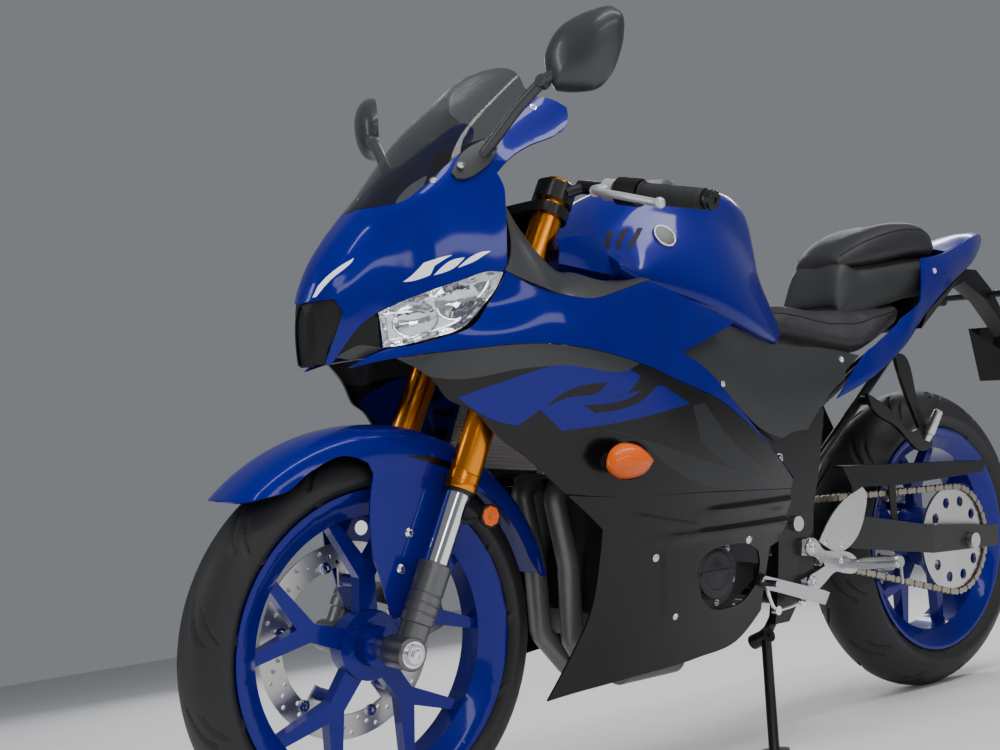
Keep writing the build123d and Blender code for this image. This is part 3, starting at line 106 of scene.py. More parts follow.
CAMERA_AT = (1689.0, 1642.0, 647.0)
YAW, PITCH, ROLL = radians(37.78), radians(1.05), radians(-2.53)
LENS, SENSOR = 46.15, 36.0
FAR_END = 60.0  # metres, past which the camera sees nothing
ahead = np.array([-sin(YAW) * cos(PITCH), -cos(YAW) * cos(PITCH), sin(PITCH)])
level_right = np.array([-cos(YAW), sin(YAW), 0.0])
level_up = np.cross(level_right, ahead)
right = cos(ROLL) * level_right + sin(ROLL) * level_up
up = -sin(ROLL) * level_right + cos(ROLL) * level_up
camera = placed("camera", bpy.data.cameras.new("camera"))
aim = TURN @ np.column_stack([right, up, -ahead])
camera.matrix_world = Matrix.Translation(parked([CAMERA_AT])[0]) @ Matrix(aim.tolist()).to_4x4()
camera.data.lens = LENS
camera.data.sensor_width = SENSOR
camera.data.clip_end = FAR_END
bpy.context.scene.camera = camera

# %% [markdown]
# ## Studio
# Gloss paint shows its lights more than its colour. Long, soft panels overhead and at the sides draw
# unbroken highlights along the tank and cowl, and a pale floor fills the shadows from below.

# %% Floor, lights and sky
FLOOR = 14.0  # half of the floor's width, in metres
floor_mesh = bpy.data.meshes.new("studio_floor")
floor_mesh.from_pydata([(-FLOOR, -FLOOR, 0), (FLOOR, -FLOOR, 0), (FLOOR, FLOOR, 0), (-FLOOR, FLOOR, 0)], [],
                       [(0, 1, 2, 3)])
studio_floor = placed("studio_floor", floor_mesh)
floor_paint = bpy.data.materials.new("floor_paint")
floor_paint.use_nodes = True
floor_inputs = floor_paint.node_tree.nodes["Principled BSDF"].inputs
floor_inputs["Base Color"].default_value = (0.6, 0.6, 0.61, 1)
floor_inputs["Roughness"].default_value = 0.5
floor_mesh.materials.append(floor_paint)


def softbox(name, place, target, width, height, power):
    """A rectangular area light at a place in metres, turned to face a target."""
    data = bpy.data.lights.new(name, "AREA")
    data.shape, data.size, data.size_y, data.energy = "RECTANGLE", width, height, power
    lamp = placed(name, data)
    lamp.location = place
    lamp.rotation_euler = (Vector(target) - Vector(place)).to_track_quat("-Z", "Y").to_euler()
    return lamp


# name, place, target, width, height, watts
FILLS = [("ceiling", (0.3, 0.8, 4.2), (0.1, 0.0, 0.5), 6.5, 3.6, 250),
         ("left_wall", (3.2, 5.2, 2.6), (0.3, 0.0, 0.5), 3.6, 2.8, 150),
         ("right_wall", (-2.0, -4.6, 2.6), (0.0, 0.0, 0.6), 3.6, 2.2, 100)]
STRIPS = [("top_strip", (0.0, 1.9, 3.4), (0.0, 0.1, 0.6), 5.5, 0.35, 60),
          ("nose_strip", (4.6, -1.6, 2.2), (0.5, 0.0, 0.7), 0.5, 3.4, 40),
          ("side_strip", (1.2, 5.0, 1.9), (0.0, 0.0, 0.6), 6.0, 0.5, 45),
          ("back_strip", (-3.4, -2.6, 3.0), (-0.2, 0.0, 0.7), 3.5, 0.5, 60)]
for fill in FILLS:
    softbox(*fill).visible_glossy = False  # fills light the parts, but gloss mirrors only the slim strips
for strip in STRIPS:
    softbox(*strip)
sky = bpy.data.worlds.new("sky")
bpy.context.scene.world = sky
sky.use_nodes = True
sky_inputs = sky.node_tree.nodes["Background"].inputs
sky_inputs["Color"].default_value = (0.82, 0.86, 0.92, 1)
sky_inputs["Strength"].default_value = 0.24

# %% [markdown]
# ## How a finish is made
# Each finish is a Principled shader with two small extras. A noise mottles the colour and the
# roughness a little, since no real surface is one flat value, and a Bevel node rounds the shading of
# sharp CAD edges, so that they catch the light as a cast or moulded edge does.


# %% One helper for every finish
COAT_ROUGHNESS = 0.07
EDGE_MM = 0.7  # radius of the shaded edges
PATCHES = 9.0  # patches of lighter and darker tone in a metre


def finish(name, colour, roughness, metallic=0.0, coat=0.0, mottle=0.12, grain=0.0, grain_mm=0.6,
           alpha=1.0, glass=0.0, shine=0.5):
    """A Principled material: one noise n from 0 to 1 gives the colour times 1 + mottle * (2 n - 1) and the
    roughness times 0.8 + 0.4 n, and a finer noise tilts the normal by the strength of grain."""
    material = bpy.data.materials.new(name)
    material.use_nodes = True
    tree = material.node_tree
    shader = tree.nodes["Principled BSDF"]
    for socket, value in (("Metallic", metallic), ("Coat Weight", coat), ("Coat Roughness", COAT_ROUGHNESS),
                          ("Transmission Weight", glass), ("Alpha", alpha), ("Specular IOR Level", shine)):
        shader.inputs[socket].default_value = value
    place = tree.nodes.new("ShaderNodeTexCoord")
    noise = tree.nodes.new("ShaderNodeTexNoise")
    noise.inputs["Scale"].default_value = PATCHES
    noise.inputs["Detail"].default_value = 5.0
    tree.links.new(place.outputs["Object"], noise.inputs["Vector"])
    tone = tree.nodes.new("ShaderNodeMix")
    tone.data_type = "RGBA"
    tone.inputs["A"].default_value = (*[c * (1 - mottle) for c in colour], 1)
    tone.inputs["B"].default_value = (*[min(1, c * (1 + mottle)) for c in colour], 1)
    tree.links.new(noise.outputs["Fac"], tone.inputs["Factor"])
    tree.links.new(tone.outputs["Result"], shader.inputs["Base Color"])
    gloss = tree.nodes.new("ShaderNodeMapRange")
    gloss.inputs["To Min"].default_value = roughness * 0.8
    gloss.inputs["To Max"].default_value = min(1, roughness * 1.2)
    tree.links.new(noise.outputs["Fac"], gloss.inputs["Value"])
    tree.links.new(gloss.outputs["Result"], shader.inputs["Roughness"])
    soft = tree.nodes.new("ShaderNodeBevel")
    soft.inputs["Radius"].default_value = EDGE_MM / 1000
    soft.samples = 4
    normal = soft.outputs["Normal"]
    if grain:
        speck = tree.nodes.new("ShaderNodeTexNoise")
        speck.inputs["Scale"].default_value = 1000 / grain_mm
        tree.links.new(place.outputs["Object"], speck.inputs["Vector"])
        bump = tree.nodes.new("ShaderNodeBump")
        bump.inputs["Strength"].default_value = grain
        bump.inputs["Distance"].default_value = grain_mm / 2000
        tree.links.new(speck.outputs["Fac"], bump.inputs["Height"])
        tree.links.new(normal, bump.inputs["Normal"])
        normal = bump.outputs["Normal"]
    tree.links.new(normal, shader.inputs["Normal"])
    return material


# %% [markdown]
# ## Finishes
# Colours are linear values. Black plastics differ less in colour than in roughness, so each grade gets
# its own gloss and grain. The pieces name their finish when they are made. Only the fuel cap keeps its CAD
# mesh, so it takes its finish here.

# %% The finishes of this machine
blue_gloss = finish("blue_gloss", (0.0005, 0.002, 0.17), 0.34, metallic=0.3, coat=0.5, mottle=0.06,
                    grain=0.05, shine=0.12)
black_gloss = finish("black_gloss", (0.0035, 0.0035, 0.004), 0.22, coat=0.1, shine=0.3)
charcoal = finish("charcoal", (0.024, 0.025, 0.026), 0.34, metallic=0.4, coat=0.1, shine=0.3)
slate_gray = finish("slate_gray", (0.04, 0.041, 0.043), 0.32, metallic=0.5, coat=0.25, shine=0.4)
fin_silver = finish("fin_silver", (0.42, 0.42, 0.41), 0.4, metallic=0.3)
# White used only for painted highlights: streaks on the cowl that stand for reflections of a strip light.
highlight_white = finish("highlight_white", (0.8, 0.81, 0.83), 0.25, coat=0.8)
black_moulded = finish("black_moulded", (0.006, 0.006, 0.0062), 0.45, grain=0.25, shine=0.3)
gray_moulded = finish("gray_moulded", (0.022, 0.0225, 0.023), 0.45, grain=0.3, shine=0.4)
shell_gray = finish("shell_gray", (0.05, 0.051, 0.053), 0.36, metallic=0.5, coat=0.2)
lever_silver = finish("lever_silver", (0.62, 0.62, 0.63), 0.4, metallic=0.7)
black_enamel = finish("black_enamel", (0.006, 0.006, 0.0062), 0.34, coat=0.15, shine=0.35)
gold_anodised = finish("gold_anodised", (0.82, 0.27, 0.02), 0.25, metallic=1.0)
gunmetal = finish("gunmetal", (0.16, 0.16, 0.165), 0.36, metallic=0.9, grain=0.1)
satin_alloy = finish("satin_alloy", (0.55, 0.55, 0.56), 0.27, metallic=1.0, grain=0.08)
cast_alloy = finish("cast_alloy", (0.03, 0.03, 0.032), 0.48, metallic=0.5, grain=0.4, grain_mm=1.2)
brushed_disc = finish("brushed_disc", (0.58, 0.57, 0.56), 0.33, metallic=1.0, mottle=0.2)
gray_pipe = finish("gray_pipe", (0.17, 0.165, 0.16), 0.42, metallic=0.5, mottle=0.25)
chain_steel = finish("chain_steel", (0.34, 0.31, 0.25), 0.35, metallic=1.0, mottle=0.3)
tyre_rubber = finish("tyre_rubber", (0.011, 0.011, 0.0115), 0.55, grain=0.2, grain_mm=0.5, shine=0.45)
grip_rubber = finish("grip_rubber", (0.018, 0.018, 0.019), 0.7, grain=0.5, grain_mm=1.5)
seat_vinyl = finish("seat_vinyl", (0.014, 0.014, 0.0152), 0.5, grain=0.6, grain_mm=1.1)
amber = finish("amber", (0.6, 0.085, 0.0003), 0.16, coat=0.3, grain=0.6, grain_mm=3.0, shine=0.3)
red_lens = finish("red_lens", (0.42, 0.008, 0.008), 0.12, coat=1.0)
chrome = finish("chrome", (0.86, 0.87, 0.88), 0.07, metallic=1.0, mottle=0.03)
clear_glass = finish("clear_glass", (0.97, 0.98, 1.0), 0.02, glass=1.0, mottle=0.01, coat=0.2)
smoke_glass = finish("smoke_glass", (0.012, 0.013, 0.015), 0.05, alpha=0.42, mottle=0.02, coat=0.15)
mirror_glass = finish("mirror_glass", (0.8, 0.82, 0.84), 0.03, metallic=1.0, mottle=0.02)

nodes["fuel_cap"].material_slots[0].material = satin_alloy
print("finishes:", len(bpy.data.materials))

# %% [markdown]
# ## Smooth skins
# Every fairing panel is cut from one skin: a table of cross-sections, each a few points from the top
# down. Between the sections and between the points the skin follows cubic curves, so light runs over
# it without a break. The second parameter is the distance down the section, in millimetres.


# %% Curves through a few values
def slopes(knots, values):
    """The slope at each of three or more knots: the two runs beside it, each weighted by the other's length.

    At both ends it is 1.5 times the run less half of the next knot's slope.
    """
    step = np.diff(knots).reshape(-1, *[1] * (values.ndim - 1))
    run = np.diff(values, axis=0) / step
    slope = np.empty_like(values)
    slope[1:-1] = (run[:-1] * step[1:] + run[1:] * step[:-1]) / (step[1:] + step[:-1])
    slope[0] = 1.5 * run[0] - 0.5 * slope[1]
    slope[-1] = 1.5 * run[-1] - 0.5 * slope[-2]
    return slope


def hermite(u, h, a, b, slope_a, slope_b):
    """The cubic from a to b over a step h that leaves and arrives with the given slopes, at 0 <= u <= 1."""
    return ((2 * u**3 - 3 * u**2 + 1) * a + (u**3 - 2 * u**2 + u) * h * slope_a
            + (3 * u**2 - 2 * u**3) * b + (u**3 - u**2) * h * slope_b)


def eased(at, knots, values):
    """A smooth curve through the values at the knots, read at many places at once."""
    knots, values = np.asarray(knots, float), np.asarray(values, float)
    if len(knots) == 2:
        f = ((at - knots[0]) / (knots[1] - knots[0]))[:, None]
        return values[0] + f * (values[1] - values[0])
    slope = slopes(knots, values)
    k = np.clip(np.searchsorted(knots, at, side="right") - 1, 0, len(knots) - 2)
    h = (knots[k + 1] - knots[k])[:, None]
    u = (at - knots[k])[:, None] / h
    return hermite(u, h, values[k], values[k + 1], slope[k], slope[k + 1])


# %% [markdown]
# ## Skins
# A row of the table is one cross section: its place x, then points of the half section. A skin blends the
# rows into one smooth surface that gives a point for every x and every length s round the section.

# %% A skin through a table of sections
class Skin:
    """A smooth surface through a table of rows (x, (y, z), (y, z), ...), from the top down.

    With a crown, the first point of each row is on the middle line and the surface crosses it level.
    bend turns a point (x, y, z) of the table into one of the machine, for a table in other terms.
    """

    def __init__(self, table, crown=False, bend=None):
        rows = sorted(table)
        self.x = np.array([row[0] for row in rows], float)
        self.rows = np.array([row[1:] for row in rows], float)
        self.crown, self.bend = crown, bend
        lengths = np.linalg.norm(np.diff(self.rows, axis=1), axis=2).mean(axis=0)
        self.knots = np.concatenate([[0], np.cumsum(lengths)])
        self.end = self.knots[-1]

    def flat(self, x, s):
        """(y, z) at x and at a distance s down the section."""
        n = len(self.knots)
        x, s = np.ravel(x), np.clip(np.ravel(s), 0, self.end)
        row = eased(np.clip(x, self.x[0], self.x[-1]), self.x, self.rows.reshape(len(self.x), -1))
        row = row.reshape(-1, n, 2).swapaxes(0, 1)
        slope = slopes(self.knots, row)
        if self.crown:
            slope[0, :, 1] = 0
        k = np.clip(np.searchsorted(self.knots, s, side="right") - 1, 0, n - 2)
        h = (self.knots[k + 1] - self.knots[k])[:, None]
        u = (s - self.knots[k])[:, None] / h
        i = np.arange(len(x))
        return hermite(u, h, row[k, i], row[k + 1, i], slope[k, i], slope[k + 1, i])

    def points(self, x, s, push=0.0):
        """Points of the surface, each pushed out along the surface's normal by so many millimetres."""
        x, s = np.ravel(x).astype(float), np.ravel(s).astype(float)
        place = self.bent(x, s)
        if np.any(push):
            small = 0.5  # half of the span over which the surface's two directions are measured
            ahead_x, behind_x = np.minimum(x + small, self.x[-1]), np.maximum(x - small, self.x[0])
            along = self.bent(ahead_x, s) - self.bent(behind_x, s)
            down = self.bent(x, np.minimum(s + small, self.end)) - self.bent(x, np.maximum(s - small, 0))
            normal = np.cross(along, down)
            if self.crown:
                normal[s < 1e-6, 1] = 0
            normal /= np.linalg.norm(normal, axis=1)[:, None]
            place = place + normal * np.reshape(push, (-1, 1))
        return place

    def bent(self, x, s):
        """(x, y, z) at x and s, wound or turned by bend if there is one."""
        place = np.column_stack([np.clip(x, self.x[0], self.x[-1]), self.flat(x, s)])
        return self.bend(place) if self.bend else place

    def down_to(self, x, z):
        """How far down the section the skin at each x first comes to the level z."""
        x, z = np.atleast_1d(x), np.atleast_1d(z)
        tries = np.linspace(0, self.end, 241)
        level = self.flat(np.repeat(x, len(tries)), np.tile(tries, len(x)))[:, 1].reshape(len(x), -1)
        below = level <= z[:, None]
        k = np.where(below.any(axis=1), below.argmax(axis=1), len(tries) - 1)
        j = np.maximum(k - 1, 0)
        i = np.arange(len(x))
        gap = level[i, j] - level[i, k]
        part = np.where(gap > 1e-9, (level[i, j] - z) / np.where(gap > 1e-9, gap, 1), 0)
        return np.clip(tries[j] + np.clip(part, 0, 1) * (tries[k] - tries[j]), 0, self.end)


# %% [markdown]
# ## Outlines
# A moulded panel is a skin within an outline. The outline is drawn from the side, as a template would
# be, laid on the skin, and filled with small triangles that meet it exactly, so its edges and its
# painted graphics are crisp at any zoom. Solidify then gives the wall its thickness, and Bevel breaks
# the edge.

# %% Outlines and triangles
STEP = 7.0  # size of a panel's triangles


def loop_points(corners, step=STEP * 0.6, sharp=34.0):
    """A closed outline: smooth through gentle corners, broken where it turns by more than sharp degrees."""
    p = np.asarray(corners, float)
    back, on = p - np.roll(p, 1, axis=0), np.roll(p, -1, axis=0) - p
    turn = np.arctan2(back[:, 0] * on[:, 1] - back[:, 1] * on[:, 0], (back * on).sum(axis=1))
    breaks = np.flatnonzero(np.abs(turn) > radians(sharp))
    if len(breaks) == 0:
        breaks = np.array([0])
    line = []
    for first, last in zip(breaks, np.append(breaks[1:], breaks[0] + len(p))):
        run = p[np.arange(first, last + 1) % len(p)]
        knots = np.concatenate([[0], np.cumsum(np.linalg.norm(np.diff(run, axis=0), axis=1))])
        at = np.linspace(0, knots[-1], max(2, int(round(knots[-1] / step)) + 1))
        line.append(eased(at, knots, run)[:-1])
    return np.concatenate(line)


def inside(points, loop):
    """Which points lie inside a loop, by counting the loop's edges to the right of each."""
    a, b = loop, np.roll(loop, -1, axis=0)
    x, y = points[:, :1], points[:, 1:]
    crosses = (a[:, 1] > y) != (b[:, 1] > y)
    rise = np.where(b[:, 1] == a[:, 1], 1, b[:, 1] - a[:, 1])
    reach = a[:, 0] + (y - a[:, 1]) * (b[:, 0] - a[:, 0]) / rise
    return ((crosses & (x < reach)).sum(axis=1) % 2).astype(bool)


def filled(rim, others, step):
    """Triangles that fill the rim and follow the other loops: a lattice joined by Delaunay's rule."""
    low, high = rim.min(axis=0), rim.max(axis=0)
    u, v = np.meshgrid(np.arange(low[0], high[0], step), np.arange(low[1] + step / 2, high[1], step))
    lattice = np.column_stack([u.ravel() + step / 2 * (np.arange(len(v)) % 2).repeat(u.shape[1]), v.ravel()])
    lattice = lattice[inside(lattice, rim)]
    edge = np.concatenate([rim, *others])
    near = np.concatenate([np.linalg.norm(part[:, None] - edge[None], axis=2).min(axis=1)
                           for part in np.array_split(lattice, max(1, len(lattice) // 800))])
    lattice = lattice[near > 0.5 * step]
    pairs, start = [], 0
    for loop in (rim, *others):
        index = np.arange(len(loop))
        pairs.append(np.column_stack([index, (index + 1) % len(loop)]) + start)
        start += len(loop)
    flat = np.concatenate([edge, lattice])
    made = delaunay_2d_cdt([Vector(p) for p in flat.tolist()], np.concatenate(pairs).tolist(), [], 0, 1e-5)
    corners, faces = np.array([tuple(v) for v in made[0]]), np.array(made[2])
    middle = corners[faces].mean(axis=1)
    return corners, faces[inside(middle, rim)]


def mesh_piece(name, points, faces, materials, which=None):
    """A mesh object from world points in metres, faces, and the material number of each face."""
    mesh = bpy.data.meshes.new(name)
    mesh.from_pydata(np.asarray(points).tolist(), [], [list(map(int, face)) for face in faces])
    for material in materials:
        mesh.materials.append(material)
    if which is not None:
        mesh.polygons.foreach_set("material_index", np.asarray(which, np.int32))
    mesh.polygons.foreach_set("use_smooth", np.ones(len(mesh.polygons), bool))
    mesh.update()
    return placed(name, mesh)


def broken_edge(piece, width, angle):
    """A bevel so many millimetres wide, on the edges that turn by more than so many degrees."""
    edge = piece.modifiers.new("broken_edge", "BEVEL")
    edge.width, edge.segments, edge.limit_method = width / 1000, 2, "ANGLE"
    edge.angle_limit, edge.harden_normals = radians(angle), True


def on_body(piece, body, slot, *replaced):
    """Lets a piece ride on a body and hides the CAD nodes it stands for; slot is not used."""
    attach(piece, body)
    if replaced:
        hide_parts(*replaced)
    return piece


# %% [markdown]
# ## Panels
# A panel is the part of a skin inside an outline, given a wall and a small bevel, mirrored to the other
# side, and handed to the body that carries it.

# %% Panels cut from a skin
PANEL_ANGLE = 50.0  # degrees, less than a panel's rim turns and more than any fold in it


def panel(name, skin, outline, base, slot, node=None, body="chassis", holes=(), paints=(), marks=(),
          wall=3.5, push=0.0, step=STEP, bevel=0.7, unrolled=False):
    """Both sides of a panel. The outline, holes and paints are (x, z) loops. push moves the skin out, by a
    number of millimetres or by a function of x and z.

    Marks are paints whose loops give the distance down the section instead of z, as an unrolled outline does.
    """
    def laid(corners):
        """An (x, z) loop as one of (x, distance down the section)."""
        loop = loop_points(corners)
        x = np.clip(loop[:, 0], skin.x[0], skin.x[-1])
        return np.column_stack([x, skin.down_to(loop[:, 0], loop[:, 1])])

    rim = loop_points(outline) if unrolled else laid(outline)
    cuts = [laid(hole) for hole in holes]
    zones = [laid(area) for area, _ in paints] + [loop_points(area, 3.0) for area, _ in marks]
    paints = [*paints, *marks]
    spots, faces = filled(rim, [*cuts, *zones], step)
    x, s = spots.T
    middle = spots[faces].mean(axis=1)
    keep = np.ones(len(faces), bool)
    for cut in cuts:
        keep &= ~inside(middle, cut)
    faces, middle = faces[keep], middle[keep]
    which = np.zeros(len(faces), int)
    for number, zone in enumerate(zones, 1):
        which[inside(middle, zone)] = number
    left = skin.points(x, s, push(x, skin.flat(x, s)[:, 1]) if callable(push) else push)
    mirrored = np.arange(len(left)) + len(left)
    if skin.crown:
        on_middle = np.flatnonzero(s < 1e-6)
        mirrored[on_middle] = on_middle
    points = parked(np.concatenate([left, left * (1, -1, 1)]))
    every = np.concatenate([faces, mirrored[faces][:, ::-1]])
    used = np.unique(every)
    number = np.zeros(len(points), int)
    number[used] = np.arange(len(used))
    piece = mesh_piece(name, points[used], number[every], [base, *[paint for _, paint in paints]],
                       np.concatenate([which, which]))
    if wall:
        thick = piece.modifiers.new("wall", "SOLIDIFY")
        thick.thickness, thick.offset = wall / 1000, -1
    if bevel:
        broken_edge(piece, bevel, PANEL_ANGLE)
    on_body(piece, body, slot, *([node] if node else []))
    print(name, "triangles a side:", len(faces))


# %% [markdown]
# ## Nose, screen and headlamps
# The nose is a narrow beak with a black mouth, and the screen grows out of it without a step. One table
# holds both, so the seam between blue plastic and smoked screen has the same curve on both sides.

# %% Nose table and outlines
NOSE = [
    (781, (0, 795), (8, 791), (14, 782), (18, 772), (20, 748), (18, 722), (14, 706)),
    (770, (0, 824), (16, 818), (27, 806), (32, 785), (33, 755), (31, 728), (26, 706)),
    (755, (0, 853), (22, 847), (36, 832), (42, 805), (44, 772), (42, 740), (36, 706)),
    (725, (0, 894), (30, 887), (48, 866), (58, 832), (61, 800), (60, 752), (52, 704)),
    (687, (0, 936), (32, 931), (52, 915), (70, 868), (76, 806), (73, 745), (66, 702)),
    (650, (0, 974), (48, 964), (79, 939), (94, 884), (103, 804), (97, 738), (84, 700)),
    (600, (0, 1026), (72, 1012), (105, 980), (126, 918), (139, 822), (133, 748), (114, 700)),
    (560, (0, 1068), (84, 1052), (113, 1012), (140, 934), (157, 832), (156, 780), (140, 706)),
    (528, (0, 1098), (88, 1080), (115, 1030), (148, 944), (167, 838), (167, 790), (158, 720)),
    (492, (0, 1128), (90, 1108), (114, 1054), (150, 990), (168, 900), (174, 822), (170, 740)),
    (449, (0, 1166), (91, 1142), (111, 1084), (148, 1024), (170, 930), (178, 850), (178, 760)),
    (400, (0, 1206), (92, 1176), (105, 1115), (145, 1052), (168, 970), (180, 880), (184, 790)),
    (355, (0, 1240), (92, 1208), (98, 1142), (136, 1088), (160, 1010), (178, 930), (184, 840)),
]
SCREEN_LINE = [(690, 936), (647, 942), (617, 966), (571, 1006), (513, 1040), (462, 1076), (401, 1116)]
SCREEN_TOP = [(440, 1175), (422, 1131), (398, 1118)]
LAMP = [(690, 779), (654, 797), (593, 820), (552, 833), (531, 832), (545, 806), (558, 789), (587, 754),
        (627, 739), (659, 731), (684, 728)]
COWL_BACK = [(531, 834), (524, 842), (512, 942), (510, 958), (514, 984), (492, 1006), (456, 1028),
             (401, 1050), (380, 1062), (357, 1102), (366, 1113), (388, 1119)]
SEAM = 0.6  # half of the gap between neighbouring panels
nose = Skin(NOSE, crown=True)

# %% [markdown]
# ## Cowl and screen
# Both share one skin, so the screen sits flush in the cowl with only a hair line between the two.

# %% Cowl and screen
cowl_line = [(800, 690), (800, 930), *[(x, z - SEAM) for x, z in SCREEN_LINE], *reversed(COWL_BACK),
             *[(x, z + SEAM) for x, z in reversed(LAMP[:5])], (715, 762), (747, 714), (762, 690)]
# Painted highlights: white streaks on the nose and both cheeks stand for reflections of a strip light in the
# gloss paint.
NOSE_PAINTED_HIGHLIGHT = [(771, 103), (764, 97), (750, 109), (730, 118), (717, 129), (721, 131), (737, 128), (757, 124),
              (768, 118)]
CHEEK_PAINTED_HIGHLIGHTS = [[(660, 213), (634, 197), (600, 203), (622, 206), (628, 214)],
                 [(624, 216), (607, 209), (584, 209), (600, 217)],
                 [(594, 218), (577, 210), (546, 206), (568, 214)]]
MOUTH = [(790, 700), (790, 797), (748, 800), (738, 780), (757, 716), (762, 690)]
# The white marks are painted highlights of a strip light, laid into the cowl as paint zones.
panel("cowl", nose, cowl_line, blue_gloss, "blue_panel", "upper_cowl", holes=[MOUTH],
      marks=[(NOSE_PAINTED_HIGHLIGHT, highlight_white), *[(painted_highlight, highlight_white) for painted_highlight in CHEEK_PAINTED_HIGHLIGHTS]])
screen_line = [(692, 938), *SCREEN_LINE[1:], *reversed(SCREEN_TOP), (455, 1190), (560, 1300), (720, 1000)]
panel("screen", nose, screen_line, smoke_glass, "smoke_screen", "windscreen", wall=3.0)

# %% [markdown]
# ## Side fairings
# The shoulder, the flank and the belly pan are one skin on the real machine too, split where a panel has
# to come off for service. Graphics are paint zones of the same mesh rather than stickers laid over it.

# %% Fairing skin, outlines and graphics
SIDE = [
    (742, (38, 860), (44, 790), (62, 706), (64, 640), (62, 560),
     (60, 490), (56, 400), (48, 250), (38, 170)),
    (690, (72, 860), (74, 790), (92, 716), (96, 640), (94, 560),
     (92, 490), (86, 400), (70, 250), (54, 170)),
    (620, (128, 860), (126, 790), (136, 722), (132, 640), (130, 560),
     (126, 490), (118, 400), (96, 250), (70, 170)),
    (555, (164, 860), (163, 790), (178, 726), (164, 640), (158, 560),
     (150, 490), (140, 400), (112, 250), (84, 170)),
    (480, (172, 860), (186, 800), (198, 728), (188, 640), (172, 560),
     (162, 490), (150, 400), (122, 250), (92, 170)),
    (400, (172, 860), (200, 794), (213, 715), (208, 640), (200, 560),
     (190, 490), (172, 400), (134, 250), (104, 170)),
    (320, (170, 860), (202, 800), (217, 700), (216, 630), (212, 560),
     (205, 490), (186, 400), (152, 250), (124, 170)),
    (220, (168, 860), (205, 806), (214, 690), (217, 620), (217, 555),
     (212, 488), (194, 400), (164, 260), (140, 180)),
    (120, (162, 860), (200, 775), (208, 690), (210, 610), (209, 545),
     (205, 482), (193, 400), (164, 270), (146, 190)),
    (20, (158, 860), (188, 760), (200, 680), (202, 600), (200, 535),
     (193, 478), (182, 400), (156, 280), (142, 200)),
    (-120, (141, 860), (167, 742), (181, 664), (179, 584), (174, 524),
     (167, 474), (157, 404), (144, 292), (131, 214)),
]
SHOULDER = [(740, 700), (707, 718), (684, 726), (659, 729), (627, 737), (586, 752), (556, 788), (543, 806),
            (528, 833), (505, 821), (426, 795), (389, 792), (330, 805), (268, 822), (183, 792), (120, 772),
            (71, 757), (140, 732), (213, 708), (155, 678), (95, 628), (35, 577), (-92, 484), (0, 548),
            (129, 629), (219, 661), (337, 700), (478, 725), (614, 719), (680, 712)]
FLANK = [(680, 711), (614, 718), (478, 724), (337, 699), (219, 660), (129, 628), (0, 547), (-86, 484),
         (-82, 468), (155, 482), (398, 494), (440, 500), (499, 555), (549, 591), (586, 632), (617, 649),
         (636, 678)]
BELLY = [(436, 497), (398, 493), (155, 481), (-82, 467), (-70, 420), (-54, 380), (-22, 372), (-16, 262),
         (43, 220), (146, 205), (312, 192), (430, 176), (405, 241), (383, 302), (375, 394), (376, 441)]
COVER_WINDOW = [(174, 352), (166, 374), (140, 386), (100, 389), (50, 385), (14, 370), (3, 345), (8, 310),
                (34, 288), (80, 280), (124, 284), (156, 306)]
side = Skin(SIDE)

FLASH = [(604, 651), (332, 682), (312, 672), (343, 645), (375, 640), (267, 657), (205, 626), (330, 606),
         (450, 595), (487, 628), (520, 606), (560, 618)]
FLASH_CUTS = [[(479, 631), (456, 649), (390, 664), (376, 664), (392, 651), (448, 643)],
              [(419, 632), (338, 638), (291, 658), (270, 661), (314, 633), (399, 619)]]
SWOOSH = [(700, 712), (614, 719), (478, 725), (337, 700), (312, 692), (330, 684), (457, 692), (520, 689),
          (614, 678), (662, 690)]
REAR_STRIPE = [(198, 622), (168, 625), (107, 565), (9, 507), (92, 514), (184, 567)]
LONG_STRIPE = [(389, 594), (274, 564), (185, 536), (95, 514), (-70, 484), (-60, 474), (134, 486), (209, 505),
               (274, 541), (315, 574)]
panel("shoulder", side, SHOULDER, blue_gloss, "blue_panel", "side_fairings")
panel("flank", side, FLANK, black_gloss, "black_panel", "middle_fairings",
      paints=[(FLASH, blue_gloss), (FLASH_CUTS[0], black_gloss), (FLASH_CUTS[1], black_gloss),
              (SWOOSH, slate_gray), (REAR_STRIPE, charcoal), (LONG_STRIPE, charcoal)])
BELLY_SLOT = [(262, 396), (252, 397), (240, 350), (234, 296), (240, 286), (249, 290), (254, 340)]
# x and z of each fold's front and rear end, and its height
RIDGES = [(205, 452, -75, 449, 4.0), (300, 419, -71, 414, 5.0), (380, 470, 190, 430, 3.0)]


def ridged(x, z):
    """Folds pressed along lines of the belly, height * exp(-(off / reach) ** 2) at a distance off from the
    line, with a reach of 4 mm above it and 14 mm below."""
    out = np.zeros(len(x))
    for x_front, z_front, x_rear, z_rear, height in RIDGES:
        line = z_front + (z_rear - z_front) * (x - x_front) / (x_rear - x_front)
        fade = np.clip((x_front - x) / 70, 0, 1) * np.clip((x - x_rear + 40) / 40, 0, 1)
        off = z - line
        out += height * fade * np.exp(-((off / np.where(off > 0, 4, 14)) ** 2))
    return out


panel("belly_pan", side, BELLY, black_gloss, "black_panel", "lower_cowls", holes=[COVER_WINDOW], push=ridged,
      paints=[(BELLY_SLOT, black_moulded)], step=4.0)

# %% [markdown]
# ## Headlamps
# Each lamp is a clear cover with a bright bowl behind it. The bowl is a paraboloid, since that shape
# sends light from its focus straight ahead, and the cover only keeps out the weather.

# %% Lamp covers, bowls and bezel
BOWLS = [(648, 768, 27), (596, 794, 30)]  # x, z and radius of the two bowls of each lamp
RIM_DEPTH, FLOOR_DEPTH, BOWL_DEPTH = 4.5, 24.0, 16.0  # at the rim, round the bowls, and more in a bowl
lamp_rim = loop_points(LAMP)


